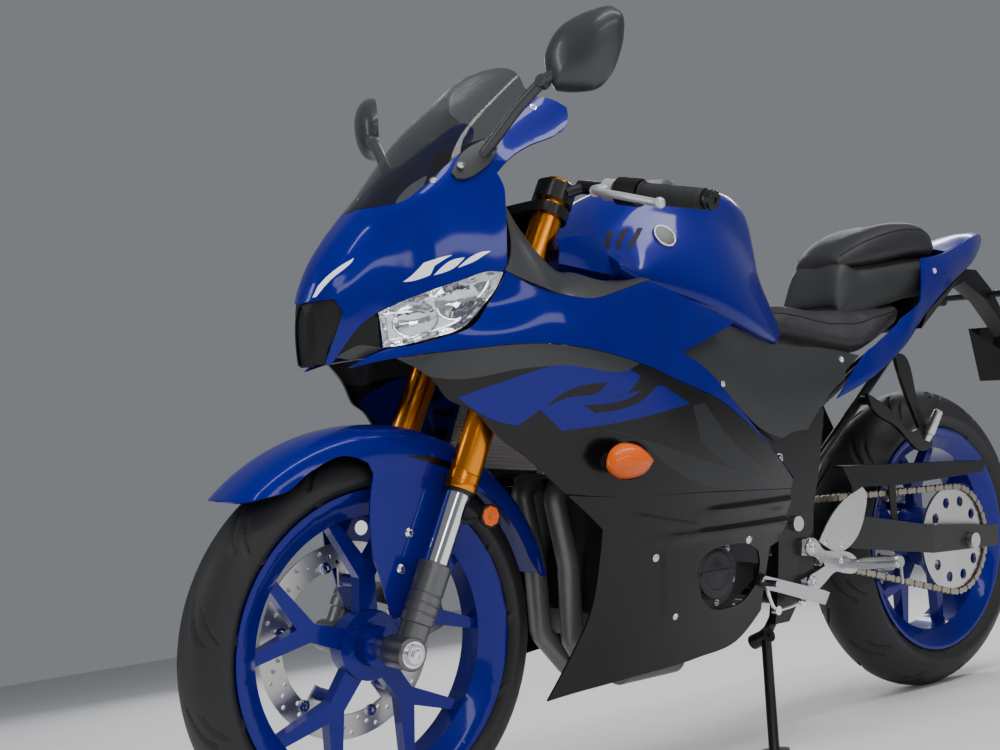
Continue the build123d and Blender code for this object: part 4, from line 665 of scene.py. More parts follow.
def lamp_depth(x, z):
    """Depth behind the cover: a wall of 24 mm within 8 mm of the rim, and a paraboloid in each bowl with
    24 shallow flutes, depth = 24 + 16 * (1 - (d / r) ** 2)."""
    place = np.column_stack([x, z])
    near = np.linalg.norm(place[:, None] - lamp_rim[None], axis=2).min(axis=1)
    depth = RIM_DEPTH + (FLOOR_DEPTH - RIM_DEPTH) * np.clip(near / 8, 0, 1) ** 0.7
    for bowl_x, bowl_z, radius in BOWLS:
        d = np.hypot(x - bowl_x, z - bowl_z)
        flute = 0.7 * np.abs(np.sin(12 * np.arctan2(z - bowl_z, x - bowl_x)))
        bowl = FLOOR_DEPTH + BOWL_DEPTH * (1 - (d / radius) ** 2) + flute
        depth = np.where(d < radius, np.maximum(depth, bowl), depth)
    return -depth


panel("lamp_cover", nose, LAMP, clear_glass, "clear_lens", "headlight_lenses", wall=2.5, step=5.0)
panel("lamp_bowls", nose, LAMP, chrome, "mirror_silver", "headlight_reflectors", wall=0, bevel=0, step=2.5,
      push=lamp_depth)
BEZEL = [(733, 292), (714, 273), (697, 259), (691, 262), (689, 290), (687, 312), (700, 318), (722, 322),
         (745, 335)]
panel("lamp_bezel", nose, BEZEL, black_moulded, "black_plastic", wall=2.0, step=5.0, unrolled=True,
      push=-3.0)

LIP = [(748, 332), (720, 313), (683, 309), (698, 322), (723, 339)]
panel("nose_lip", nose, LIP, slate_gray, "gray_plastic", wall=2.0, step=5.0, unrolled=True,
      push=-1.0)

# %% [markdown]
# ## Tail, side covers and inner panels
# The tail rises in a thin wing on each side of the pillion seat. It is drawn like the fairings, from a
# table of sections and a side outline.

# %% Tail and cover tables
TAIL = [
    (-272, (126, 700), (134, 640), (129, 600)),
    (-366, (138, 708), (143, 668), (137, 630)),
    (-450, (125, 742), (132, 705), (125, 655)),
    (-520, (112, 776), (123, 745), (113, 690)),
    (-613, (98, 898), (108, 845), (99, 765)),
    (-707, (88, 912), (97, 872), (86, 815)),
    (-800, (67, 936), (76, 905), (64, 850)),
    (-900, (43, 963), (49, 938), (39, 895)),
    (-974, (13, 975), (17, 962), (12, 940)),
]
TAIL_OUTLINE = [(-274, 619), (-366, 706), (-450, 740), (-520, 774), (-586, 806), (-613, 897), (-707, 911),
                (-800, 935), (-900, 962), (-972, 974), (-974, 950), (-900, 912), (-707, 834), (-496, 709)]
COVER = [
    (215, (190, 750), (200, 708), (198, 668)),
    (100, (164, 777), (196, 690), (195, 636)),
    (0, (152, 747), (186, 650), (184, 575)),
    (-100, (134, 722), (162, 640), (160, 555)),
    (-200, (126, 722), (146, 645), (143, 575)),
    (-356, (134, 705), (141, 668), (137, 645)),
]
COVER_OUTLINE = [(69, 756), (138, 731), (209, 707), (153, 679), (93, 629), (33, 578), (-28, 532), (-100, 562),
                 (-166, 566), (-266, 643), (-290, 655), (-296, 671), (-345, 699), (-250, 714), (-145, 719),
                 (-80, 726), (0, 746)]
INNER = [
    (530, (149, 944), (160, 872), (168, 836)),
    (512, (146, 942), (163, 872), (178, 824)),
    (488, (148, 908), (171, 856), (188, 814)),
    (426, (162, 838), (178, 824), (198, 793)),
    (389, (158, 836), (176, 820), (201, 791)),
    (320, (160, 824), (180, 819), (203, 802)),
    (262, (166, 829), (184, 828), (203, 822)),
]
INNER_OUTLINE = [(529, 834.6), (505, 821.6), (426, 795.6), (389, 792.6), (330, 805.6), (262, 824.6),
                 (262, 860), (440, 900), (511, 950), (523, 843)]
tail_skin, cover_skin = Skin(TAIL), Skin(COVER)
panel("tail_side", tail_skin, TAIL_OUTLINE, blue_gloss, "blue_panel", "tail_cowls")
panel("side_cover", cover_skin, COVER_OUTLINE, gray_moulded, "gray_plastic", "side_covers")
panel("inner_panel", Skin(INNER), INNER_OUTLINE, shell_gray, "gray_plastic", "inner_panels")

# %% [markdown]
# ## Front fender
# The fender hugs the tyre and carries down beside it to the fork. It is easiest to draw unrolled: one
# number is the way round the wheel, the other the way down from the crown, and the whole is wound back
# about the axle at the end.

# %% Fender skin
ARC = 5.55  # millimetres round the fender for each degree


def wound(place):
    """(way round, y, radius) in millimetres, wound about the front axle at an angle of way / ARC degrees."""
    angle = np.radians(place[:, 0] / ARC)
    return np.column_stack([FRONT_HUB[0] + place[:, 2] * np.cos(angle), place[:, 1],
                            FRONT_HUB[2] + place[:, 2] * np.sin(angle)])


FENDER_SECTION = ((0, 322), (24, 321), (46, 316), (60, 308), (66, 294), (66, 250), (66, 160), (66, 40))
FENDER = [(degree * ARC, *FENDER_SECTION) for degree in (44, 80, 120, 172)]
FENDER_OUTLINE = [(44, 330), (46.5, 314), (50, 303), (56, 288), (66, 290), (78, 289), (84.5, 272), (86, 255),
                  (82, 192), (80, 134), (86, 73), (95, 49), (108, 49), (118, 71), (119, 172), (119.5, 240),
                  (124, 268), (134, 280), (150, 282), (162, 286), (166.5, 296), (168, 330)]
FENDER_SLOT = [(98, 279), (103, 284), (114, 287), (121, 284), (116, 279), (106, 276)]


def round_wheel(loop):
    """A loop of (degrees, radius) as one of (way round, radius) in millimetres."""
    return [(degree * ARC, radius) for degree, radius in loop]


fender = Skin(FENDER, crown=True, bend=wound)
panel("fender", fender, round_wheel(FENDER_OUTLINE), blue_gloss, "blue_panel", "front_fender", "steering",
      paints=[(round_wheel(FENDER_SLOT), black_gloss)], step=6.0)

# %% [markdown]
# ## Closed bodies
# The tank and the seats are closed bodies, so each row of their grid is a whole ring: down the left side,
# across the underside and up the right. Towards both ends the ring shrinks by the profile of a
# quarter circle, which rounds the body off as pressing or moulding does.


# %% Rings and bodies
def grid_faces(rows, ring, wrap=True):
    """Quads of a grid of rows by ring points, closed round each ring."""
    number = np.arange(rows * ring).reshape(rows, ring)
    on = np.roll(number, -1, axis=1) if wrap else number[:, 1:]
    off = number if wrap else number[:, :-1]
    return np.stack([off[:-1], off[1:], on[1:], on[:-1]], axis=-1).reshape(-1, 4)


def quarter(distance, radius):
    """How far a rounded edge of that radius stands in at a distance from the end."""
    d = np.clip(distance, 0, radius)
    return radius - np.sqrt(np.maximum(radius**2 - (radius - d) ** 2, 0))


def spaced(low, high, low_r, high_r, step):
    """Places from low to high, drawn together over the rounded ends."""
    rise = 1 - np.cos(np.linspace(0, pi / 2, 7))
    middle = np.linspace(low + low_r, high - high_r, max(3, int((high - low - low_r - high_r) / step)))
    return np.concatenate([low + low_r * rise[:-1], middle, (high - high_r * rise)[-2::-1]])


UNDER = 6  # points of a ring across the underside


def ringed(skin, low_r, high_r, across=40, step=8.0):
    """Rings of a closed body, as (rows, ring, 3) upright points, with its ends rounded by two radii."""
    x = spaced(skin.x[0], skin.x[-1], low_r, high_r, step)
    s = np.linspace(0, skin.end, across)
    inset = quarter(x - skin.x[0], low_r) + quarter(skin.x[-1] - x, high_r)
    xx, ss = np.meshgrid(x, s, indexing="ij")
    left = skin.points(xx, ss, np.repeat(-inset, across)).reshape(len(x), across, 3)
    left[:, 0, 1] = 0
    below = np.repeat(left[:, -1:, :], UNDER, axis=1)
    below[:, :, 1] *= np.linspace(1, -1, UNDER + 2)[1:-1]
    rightward = left[:, :0:-1] * (1, -1, 1)
    return np.concatenate([left, below, rightward], axis=1)


def body_piece(name, rings, material, slot, body="chassis", node=None):
    """A closed mesh from rings, capped with a face at each end."""
    rows, ring = rings.shape[:2]
    faces = grid_faces(rows, ring).tolist()
    faces.append(list(range(ring)))
    faces.append(list(range(rows * ring - 1, (rows - 1) * ring - 1, -1)))
    piece = mesh_piece(name, parked(rings.reshape(-1, 3)), faces, [material])
    return on_body(piece, body, slot, *([node] if node else []))


# %% [markdown]
# ## Fuel tank
# The tank stands high between the rider's arms and pulls in sharply where the knees grip it. The crease
# along its shoulder comes from two section points that run close together towards the front.

# %% Tank
TANK = [
    (300, (0, 890), (85, 888), (138, 870), (156, 834), (120, 826)),
    (255, (0, 943), (80, 931), (116, 899), (158, 818), (122, 811)),
    (212, (0, 982), (84, 965), (117, 932), (161, 806), (124, 799)),
    (100, (0, 1008), (92, 995), (126, 941), (165, 777), (126, 770)),
    (0, (0, 1010), (88, 994), (114, 936), (156, 748), (118, 742)),
    (-80, (0, 1001), (76, 984), (94, 902), (136, 728), (104, 721)),
    (-125, (0, 981), (60, 962), (80, 868), (118, 722), (90, 716)),
    (-150, (0, 952), (44, 936), (66, 846), (104, 736), (80, 730)),
]
tank_skin = Skin(TANK, crown=True)
body_piece("tank", ringed(tank_skin, 11.0, 2.5, across=72, step=5.0), blue_gloss, "blue_paint",
           node="fuel_tank")
WING = [(402, (141, 890), (146, 874), (141, 851)), (351, (142, 898), (149, 874), (149, 842)),
        (300.6, (135, 894), (145, 869), (156, 834))]
WING_OUTLINE = [(402, 900), (300.6, 900), (300.6, 820), (402, 848)]
panel("tank_wing", Skin(WING), WING_OUTLINE, blue_gloss, "blue_paint", wall=4.0)

# %% [markdown]
# ## Seats
# A motorcycle seat is foam under a stretched cover. The rider's pad is dished and slopes forward, the
# pillion's is a small raised cushion. Both start slightly small and swell under air pressure in a
# short cloth simulation, which gives the tight, crowned look that a plain loft lacks.

# %% Seat tables
RIDER_SEAT = [
    (-151, (0, 799), (60, 796), (86, 768), (80, 744)),
    (-214, (0, 790), (72, 788), (104, 746), (94, 729)),
    (-300, (0, 778), (86, 776), (128, 724), (112, 712)),
    (-366, (0, 778), (92, 776), (136, 719), (118, 708)),
    (-450, (0, 786), (92, 784), (120, 748), (104, 728)),
    (-520, (0, 799), (86, 797), (98, 778), (86, 754)),
    (-560, (0, 810), (78, 808), (86, 794), (76, 771)),
]
PILLION_BASE = [
    (-368, (0, 800), (56, 798), (70, 784), (66, 781)),
    (-392, (0, 868), (58, 862), (76, 800), (72, 783)),
    (-450, (0, 880), (62, 874), (82, 812), (76, 789)),
    (-520, (0, 890), (66, 884), (84, 828), (78, 803)),
    (-562, (0, 896), (68, 890), (86, 836), (80, 813)),
    (-640, (0, 904), (68, 898), (88, 848), (80, 825)),
    (-700, (0, 906), (66, 900), (82, 862), (72, 846)),
]
PILLION_SEAT = [
    (-388, (0, 892), (40, 886), (56, 876), (54, 869)),
    (-430, (0, 922), (58, 912), (76, 890), (72, 877.3)),
    (-520, (0, 958), (74, 946), (92, 908), (86, 891.3)),
    (-600, (0, 970), (78, 960), (94, 916), (88, 902.5)),
    (-680, (0, 966), (72, 956), (84, 922), (78, 906)),
    (-730, (0, 944), (52, 936), (62, 918), (56, 907)),
]
body_piece("pillion_plate", ringed(Skin(PILLION_BASE, crown=True), 8.0, 8.0), gray_moulded,
           "gray_plastic", node="pillion_base")

START_SIZE = 0.985  # size of a pad before it swells
VOXEL = 0.006  # metres, the size of the cloth's squares
PRESSURE = 4.0
SWELL_FRAMES = 20
SWELL_CAP = 5.0  # millimetres that the cover may move


def cushion(name, table, ends):
    """A padded seat: a closed body, remeshed finely and blown up by cloth pressure, never past the cap."""
    rings = ringed(Skin(table, crown=True), *ends, across=36)
    centre = rings.mean(axis=(0, 1))
    rings = centre + (rings - centre) * START_SIZE
    piece = body_piece(name, rings, seat_vinyl, "seat_cover")
    bpy.context.view_layer.objects.active = piece
    remesh = piece.modifiers.new("even_mesh", "REMESH")
    remesh.mode, remesh.voxel_size = "VOXEL", VOXEL
    bpy.context.view_layer.update()
    fine = bpy.data.meshes.new_from_object(piece.evaluated_get(bpy.context.evaluated_depsgraph_get()))
    piece.modifiers.clear()
    piece.data = fine
    before = np.array([v.co for v in fine.vertices])
    cloth = piece.modifiers.new("air", "CLOTH")
    cloth.settings.use_pressure = True
    cloth.settings.uniform_pressure_force = PRESSURE
    cloth.settings.effector_weights.gravity = 0.0
    cloth.point_cache.frame_end = SWELL_FRAMES
    for frame_number in range(1, SWELL_FRAMES + 1):
        bpy.context.scene.frame_set(frame_number)
    swollen = piece.evaluated_get(bpy.context.evaluated_depsgraph_get())
    after = np.array([v.co for v in swollen.data.vertices])
    move = after - before
    far = np.linalg.norm(move, axis=1)
    move *= (np.minimum(far, SWELL_CAP / 1000) / np.maximum(far, 1e-9))[:, None]
    piece.modifiers.clear()
    fine.vertices.foreach_set("co", (before + move).ravel())
    bpy.context.scene.frame_set(1)
    fine.polygons.foreach_set("use_smooth", np.ones(len(fine.polygons), bool))
    ease = piece.modifiers.new("stretched_cover", "SMOOTH")
    ease.factor, ease.iterations = 0.5, 14
    smooth = piece.modifiers.new("rounder", "SUBSURF")
    smooth.levels = smooth.render_levels = 1
    return piece


rider_pad = cushion("rider_pad", RIDER_SEAT, (10.0, 12.0))
pillion_pad = cushion("pillion_pad", PILLION_SEAT, (14.0, 14.0))
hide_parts("seats")
print("seat meshes:", len(rider_pad.data.vertices), len(pillion_pad.data.vertices))

# %% [markdown]
# ## Top of the tail
# A narrow sheet closes the tail behind the pillion seat and meets the two wings at its edges.

# %% Tail top
TAIL_TOP = [(-734, (0, 930), (48, 926), (78.3, 917.5)), (-800, (0, 948), (42, 944), (63.4, 934.5)),
            (-900, (0, 971), (24, 968), (39.4, 961.5)), (-966, (0, 977), (5, 976.4), (12.5, 972.5))]
TAIL_TOP_OUTLINE = [(-966, 1000), (-734, 1000), (-734, 800), (-966, 800)]
panel("tail_top", Skin(TAIL_TOP, crown=True), TAIL_TOP_OUTLINE, blue_gloss, "blue_panel", wall=4.0)

# %% [markdown]
# ## Tyres
# A radial sport tyre has a round crown, a few long slanted grooves and a plain shoulder. The grooves are
# cut into one revolved grid: a formula says how near each point is to the centre line of a groove, and
# lowers it by up to five and a half millimetres.


# %% Tyre surface
WALL_END, BEAD = 232.3, 218.3  # radius where the side wall ends, and of the bead on a 17-inch rim
GROOVE = 5.5  # depth of the tread
# count round the tyre, lean, where it starts and ends as shares of the half width, half width of the groove
GROOVES = ((13, 1.5, 0.10, 0.72, 0.045), (13, 2.1, 0.50, 0.92, 0.036))


def tyre_rings(radius, width, rim_half, around=900):
    """Rings across a tyre, as (around, across, 3) about the axle, with grooves cut into the tread.

    A groove's centre line leans: its angle is 2 pi (j + lean * |across|) / count for a whole number j.
    """
    shoulder = radius - 0.38 * width
    drop = radius - shoulder
    crown = (width**2 / 4 + drop**2) / (2 * drop)
    bend = pi / 2 * 0.98  # the tread's points draw together towards the shoulders, as a sine does
    across = width / 2 * np.sin(np.linspace(-1, 1, 57) * bend) / sin(bend)
    tread_r = radius - crown + np.sqrt(crown**2 - across**2)
    wall_t = np.linspace(0, 1, 9)[1:]
    wall_r = shoulder + (WALL_END - shoulder) * wall_t
    wall_y = width / 2 + (rim_half - 0.3 - width / 2) * wall_t**1.6 + 2.2 * np.sin(pi * wall_t)
    y = np.concatenate([-wall_y[::-1], across, wall_y])
    r = np.concatenate([wall_r[::-1], tread_r, wall_r])
    theta = np.linspace(0, 2 * pi, around, endpoint=False)[:, None]
    spread = np.clip(y / (width / 2), -1, 1)[None, :]
    depth = np.zeros((around, len(y)))
    for count, lean_by, low, high, wide in GROOVES:
        for sign, turn in ((1, 0), (-1, 0.5)):
            place = sign * spread
            phase = theta / (2 * pi) * count + lean_by * place - 0.9 * place**2 + turn + low
            off = np.abs(phase - np.round(phase))
            run = np.clip((place - low) * 14, 0, 1) * np.clip((high - place) * 14, 0, 1)
            depth = np.maximum(depth, np.clip((wide - off) / wide * 2.2, 0, 1) * run)
    ripple = 0.6 * np.exp(-(((r - shoulder + 14) / 2.2) ** 2)) * (np.abs(spread[0]) > 0.99)
    worn = r[None, :] - GROOVE * depth + ripple[None, :]
    return np.stack([worn * np.cos(theta), np.broadcast_to(y, worn.shape), worn * np.sin(theta)], axis=-1)


def tyre(name, hub, radius, width, rim_half, node, body):
    """A tyre about its hub, its bead turned in on the rim's seat."""
    ring = tyre_rings(radius, width, rim_half)
    around, across = ring.shape[:2]
    foot = ring[:, [0, -1]].copy()
    flat = np.linalg.norm(foot[..., [0, 2]], axis=-1, keepdims=True)
    foot[..., [0, 2]] *= BEAD / flat
    inner = foot * (1, 0.86, 1)
    ring = np.concatenate([inner[:, :1], foot[:, :1], ring, foot[:, 1:], inner[:, 1:]], axis=1)
    across += 4
    number = np.arange(around * across).reshape(around, across)
    on = np.roll(number, -1, axis=0)
    faces = np.stack([number[:, :-1], number[:, 1:], on[:, 1:], on[:, :-1]], axis=-1).reshape(-1, 4)
    piece = mesh_piece(name, parked(ring.reshape(-1, 3) + hub), faces, [tyre_rubber])
    on_body(piece, body, "tyre", node)


tyre("front_road_tyre", FRONT_HUB, 292.0, 110.0, 38.0, "front_tyre", "front_wheel")
tyre("rear_road_tyre", REAR_HUB, 313.0, 140.0, 53.0, "rear_tyre", "rear_wheel")
print("tyres done")

# %% [markdown]
# ## Cast, forged and tubular parts
# These parts keep their CAD shape. A merged copy of each gets a real bevel on its sharp edges, because a
# casting never has a knife edge and its highlights live on those small radii.


# %% Bevelled copies of CAD nodes
SHARP = 32.0  # degrees past which an edge gets its bevel


def softened(node, material, slot, width):
    """A copy of a CAD node with its triangles merged, flat faces joined and sharp edges bevelled."""
    mesh = nodes[node].data.copy()
    mesh.name = node + "_dressed"
    work = bmesh.new()
    work.from_mesh(mesh)
    bmesh.ops.remove_doubles(work, verts=work.verts, dist=2e-5)
    bmesh.ops.dissolve_limit(work, angle_limit=radians(1.0), verts=work.verts, edges=work.edges)
    work.to_mesh(mesh)
    work.free()
    mesh.materials.clear()
    mesh.materials.append(material)
    mesh.polygons.foreach_set("use_smooth", np.ones(len(mesh.polygons), bool))
    mesh.polygons.foreach_set("material_index", np.zeros(len(mesh.polygons), np.int32))
    mesh.set_sharp_from_angle(angle=radians(SHARP))
    piece = placed(mesh.name, mesh)
    broken_edge(piece, width, SHARP)
    on_body(piece, nodes[node]["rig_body"], slot, node)


HARD_PARTS = [
    (blue_gloss, "blue_paint", 2.4, "front_rim rear_rim"),
    (black_moulded, "black_plastic", 1.2, "chain_guard nose_duct plate_bracket tail_tray instrument"
                                          " switch_boxes"),
    (chain_steel, "chain_steel", 0.6, "drive_sprocket"),
    (cast_alloy, "engine_gray", 1.2, "engine_block engine_covers"),
    (gray_pipe, "gray_steel", 1.2, "exhaust_header"),
    (satin_alloy, "bright_alloy", 1.2, "foot_levers"),
    (black_enamel, "black_steel", 1.2, "frame muffler rear_shock subframes swingarm radiator fork_clamps"
                                       " handlebars side_stand"),
    (satin_alloy, "steel", 1.2, "pivot_bolt_and_rear_axle front_axle"),
    (gunmetal, "gunmetal", 1.2, "rear_caliper front_caliper"),
    (red_lens, "red_lens", 1.2, "tail_light"),
    (lever_silver, "bright_alloy", 1.2, "levers"),
    (brushed_disc, "steel", 0.6, "front_brake_disc rear_brake_disc rear_sprocket"),
]
for material, slot, width, names in HARD_PARTS:
    for node in names.split():
        softened(node, material, slot, width)
print("bevelled copies:", sum(len(names.split()) for *_, names in HARD_PARTS))

# %% [markdown]
# ## Turned and domed shapes
# Bolts, forks, grips and caps are lathe work: a profile swept once round an axis. A dome is the same idea
# for an outline of any shape, drawn smaller and smaller as it rises. Several of them join into one mesh
# wherever they would come out of one box of fasteners.


# %% Lathe, dome and tube
LEFT, UP = (0, 1, 0), (0, 0, 1)


def unit(v):
    """The direction of v, one long."""
    return np.asarray(v, float) / np.linalg.norm(v)


def turned(profile, start, way, around=40):
    """A lathe shape as (points, faces): (distance along, radius) pairs swept round the axis from start."""
    along, radius = np.array(profile, float).T
    way = unit(way)
    side_way = unit(np.cross(way, (0, 0, 1) if abs(way[2]) < 0.9 else (1, 0, 0)))
    other = np.cross(way, side_way)
    theta = np.linspace(0, 2 * pi, around, endpoint=False)
    circle = np.cos(theta)[:, None] * side_way + np.sin(theta)[:, None] * other
    ring = np.asarray(start, float) + along[:, None, None] * way + radius[:, None, None] * circle[None]
    return ring.reshape(-1, 3), grid_faces(len(along), around)[:, ::-1]


def domed(outline, start, out, up_way, height, bulge=1.0, rows=10, edge=0.0):
    """A dome over an outline as (points, faces): at t from 0 to 1 it rises by height * t and shrinks by
    sqrt(1 - t ** 2). The outline is (across, up) about start, and the dome rises along out."""
    loop = loop_points(outline, step=4.0, sharp=70)
    centre = loop.mean(axis=0)
    t = np.sin(np.linspace(0, pi / 2, rows))
    shrink = (1 - np.minimum(t, 0.9999) ** (2 * bulge)) ** 0.5
    shrink[-1] = 0
    out, up_way = unit(out), unit(up_way)
    across = unit(np.cross(up_way, out))
    flat = centre + shrink[:, None, None] * (loop - centre)[None]
    flat = np.concatenate([flat[:1], flat])
    rise = np.concatenate([[0], edge + height * t])
    points = np.asarray(start, float) + flat[..., :1] * across + flat[..., 1:] * up_way
    points = points + rise[:, None, None] * out
    return points.reshape(-1, 3), grid_faces(len(rise), len(loop))


def tube(route, radius, around=12, step=6.0):
    """A round tube along a smooth route as (points, faces). Each ring's frame is the last one's, turned as
    little as its new direction asks."""
    route = np.asarray(route, float)
    knots = np.concatenate([[0], np.cumsum(np.linalg.norm(np.diff(route, axis=0), axis=1))])
    at = np.linspace(0, knots[-1], max(6, int(knots[-1] / step)))
    line = eased(at, knots, route)
    way = np.gradient(line, axis=0)
    way /= np.linalg.norm(way, axis=1)[:, None]
    normal = unit(np.cross(way[0], (0.31, 0.2, 0.93)))
    rings = []
    theta = np.linspace(0, 2 * pi, around, endpoint=False)
    for centre, direction in zip(line, way):
        normal = unit(normal - direction * normal.dot(direction))
        other = np.cross(direction, normal)
        rings.append(centre + radius * (np.cos(theta)[:, None] * normal + np.sin(theta)[:, None] * other))
    rings = [np.repeat(line[:1], around, axis=0), *rings, np.repeat(line[-1:], around, axis=0)]
    return np.concatenate(rings), grid_faces(len(rings), around)[:, ::-1]


def block(low, high):
    """A box between two corners, as (points, faces)."""
    x, y, z = zip(low, high)
    points = np.array([(x[i], y[j], z[k]) for i in (0, 1) for j in (0, 1) for k in (0, 1)], float)
    faces = np.array([(0, 1, 3, 2), (4, 6, 7, 5), (0, 4, 5, 1), (2, 3, 7, 6), (0, 2, 6, 4), (1, 5, 7, 3)])
    return points, faces


def prism(outline, y_low, y_high):
    """A plate with an outline in x and z between two values of y, as (points, faces), its two faces fans
    about their middles."""
    count = len(outline)
    rings = [np.column_stack([outline[:, 0], np.full(count, y), outline[:, 1]]) for y in (y_low, y_high)]
    caps = [np.repeat(ring.mean(axis=0)[None], count, axis=0) for ring in rings]
    return np.concatenate([caps[0], *rings, caps[1]]), grid_faces(4, count)


def both(parts):
    """The parts and their mirrored copies on the right."""
    return [*parts, *[(points * (1, -1, 1), [face[::-1] for face in faces]) for points, faces in parts]]


def joined(parts):
    """Many (points, faces) as one."""
    points, faces, start = [], [], 0
    for some, quads in parts:
        points.append(some)
        faces.extend([[int(corner) + start for corner in face] for face in quads])
        start += len(some)
    return np.concatenate(points), faces


def gathered(name, parts, material, slot, body, *replaced, sharp=35.0, bevel=0.0):
    """One mesh of many (points, faces), its doubled points merged and its faces turned outwards."""
    points, faces = joined(parts)
    piece = mesh_piece(name, parked(points), faces, [material])
    work = bmesh.new()
    work.from_mesh(piece.data)
    bmesh.ops.remove_doubles(work, verts=work.verts, dist=1e-6)
    bmesh.ops.dissolve_degenerate(work, edges=work.edges, dist=1e-7)
    bmesh.ops.recalc_face_normals(work, faces=work.faces)
    work.to_mesh(piece.data)
    work.free()
    piece.data.set_sharp_from_angle(angle=radians(sharp))
    if bevel:
        broken_edge(piece, bevel, sharp)
    on_body(piece, body, slot, *replaced)


# %% [markdown]
# ## Seat seams
# A seam is piped where two panels of the cover meet. It comes after the cloth has settled, so that it
# lies on the swollen cover and not on the plain loft.

# %% Piping of both seats
PIPING = 1.3  # radius of the piping
SEAM_SHORT, SEAM_POINTS = 22.0, 40  # how far a seam stops before a pad's ends, and its points


def seam(name, pad, table, share):
    """A piped seam on both sides of a pad: rays shot inwards at one share of its girth find the cover."""
    skin = Skin(table, crown=True)
    x = np.linspace(skin.x[0] + SEAM_SHORT, skin.x[-1] - SEAM_SHORT, SEAM_POINTS)
    s = np.full(SEAM_POINTS, share * skin.end)
    outer, inner = skin.points(x, s, 40.0), skin.points(x, s, -15.0)
    bpy.context.view_layer.update()
    cover = BVHTree.FromObject(pad, bpy.context.evaluated_depsgraph_get())
    parts = []
    for sign in (1, -1):
        starts, ends = parked(outer * (1, sign, 1)), parked(inner * (1, sign, 1))
        hits = [cover.ray_cast(Vector(start), Vector(end - start))[0] for start, end in zip(starts, ends)]
        parts.append(tube(np.array([hit for hit in hits if hit]) * 1000, PIPING, 8, 7.0))
    points, faces = joined(parts)
    on_body(mesh_piece(name, points / 1000, faces, [black_moulded]), "chassis", "seat_cover")


seam("rider_seam", rider_pad, RIDER_SEAT, 0.62)
seam("pillion_seam", pillion_pad, PILLION_SEAT, 0.6)

# %% [markdown]
# ## Fork
# The fork is the upside-down kind: a gold anodised outer tube above, and a thinner slider that runs up
# into it. Rings and a dust seal mark the place where they meet.

# %% Fork legs on the steering axis
RAKE, TRAIL = radians(25.0), 95.0
LEG_LEAD, LEG_Y = 31.0, 100.0
STEER_UP = np.array([-sin(RAKE), 0, cos(RAKE)])
STEER_AHEAD = np.array([cos(RAKE), 0, sin(RAKE)])
STEER_FOOT = np.array([FRONT_HUB[0] + TRAIL, 0, 0])


def on_axis(height, ahead_by=0.0, left=0.0):
    """The point at a height along the steering axis, moved ahead of it and to the left."""
    return STEER_FOOT + STEER_UP * height + STEER_AHEAD * ahead_by + np.array([0, left, 0])


def leg_height(z):
    """The height along the steering axis where a fork leg is at the level z."""
    return (z - LEG_LEAD * STEER_AHEAD[2]) / STEER_UP[2]


TUBE_END, SLIDER_END, FOOT_END, LEG_TOP = (leg_height(z) for z in (514.0, 411.0, 330.0, 985.0))
leg_foot = on_axis(0, LEG_LEAD, LEG_Y)


def counted(start, *profile):
    """A profile whose places are counted from start."""
    return [(start + along, radius) for along, radius in profile]


TUBE = [*counted(TUBE_END, (0, 19), (0, 23.5), (2, 24.8), (9, 24.8), (10, 23.8), (12, 23.8), (13, 25.4),
                 (24, 25.4), (25, 24.2), (28, 24.2), (29, 24.5)),
        *counted(LEG_TOP, (-2, 24.5), (0, 22.5), (0, 0))]
SLIDER = [(SLIDER_END - 2, 0), (SLIDER_END - 2, 18.5), (TUBE_END - 0.3, 18.5), (TUBE_END - 0.3, 0)]
rings = [place for at in (13, 27, 41) for place in ((at, 25), (at + 1, 23.8), (at + 3, 23.8), (at + 4, 25))]
LOWER = [*counted(FRONT_HUB[2] / cos(RAKE) - 22, (0, 0), (0, 21)),
         *counted(FOOT_END, (-2, 22), (0, 25), *rings),
         *counted(SLIDER_END, (-2, 25), (0, 23), (0, 18))]
SEAL = counted(TUBE_END, (-6, 18.5), (-6, 21), (-2, 22.8), (-0.5, 22.8), (-0.5, 18))
HOLDER = [(74, 11), (74, 23), (76, 24), (124, 24), (126, 22.5), (126, 11)]
tube_leg, slider_leg, seal_leg, lower_leg = (turned(profile, leg_foot, STEER_UP, 56)
                                             for profile in (TUBE, SLIDER, SEAL, LOWER))
axle_holder = turned(HOLDER, FRONT_HUB, LEFT, 56)
gathered("gold_tubes", both([tube_leg]), gold_anodised, "gold_tube", "steering", "fork_tubes")
gathered("sliders", both([slider_leg]), chrome, "steel", "steering")
gathered("dust_seals", both([seal_leg]), black_enamel, "black_steel", "steering")
gathered("fork_lowers", both([lower_leg, axle_holder]), gunmetal, "gunmetal", "steering", "fork_legs")
HEX = [(0, 0), (0, 13.5), (7, 13.5), (8, 12.5), (8, 9), (11, 9), (12, 8), (12, 5), (10, 5), (10, 0)]
WASHER = [(-0.3, 9), (-0.3, 19), (1.2, 19), (1.2, 9)]
nut_at = np.array(FRONT_HUB) + (0, 126.5, 0)
gathered("axle_nut", both([turned(HEX, nut_at, LEFT, 6), turned(WASHER, nut_at, LEFT, 32)]), chrome, "steel",
         "steering")

# %% [markdown]
# ## Bars and grips
# Clip-on bars drop low from the fork. A grip is one turned shape with many small ribs, so that a glove
# doesn't slip on it, and a weight at the bar's end calms its vibration.

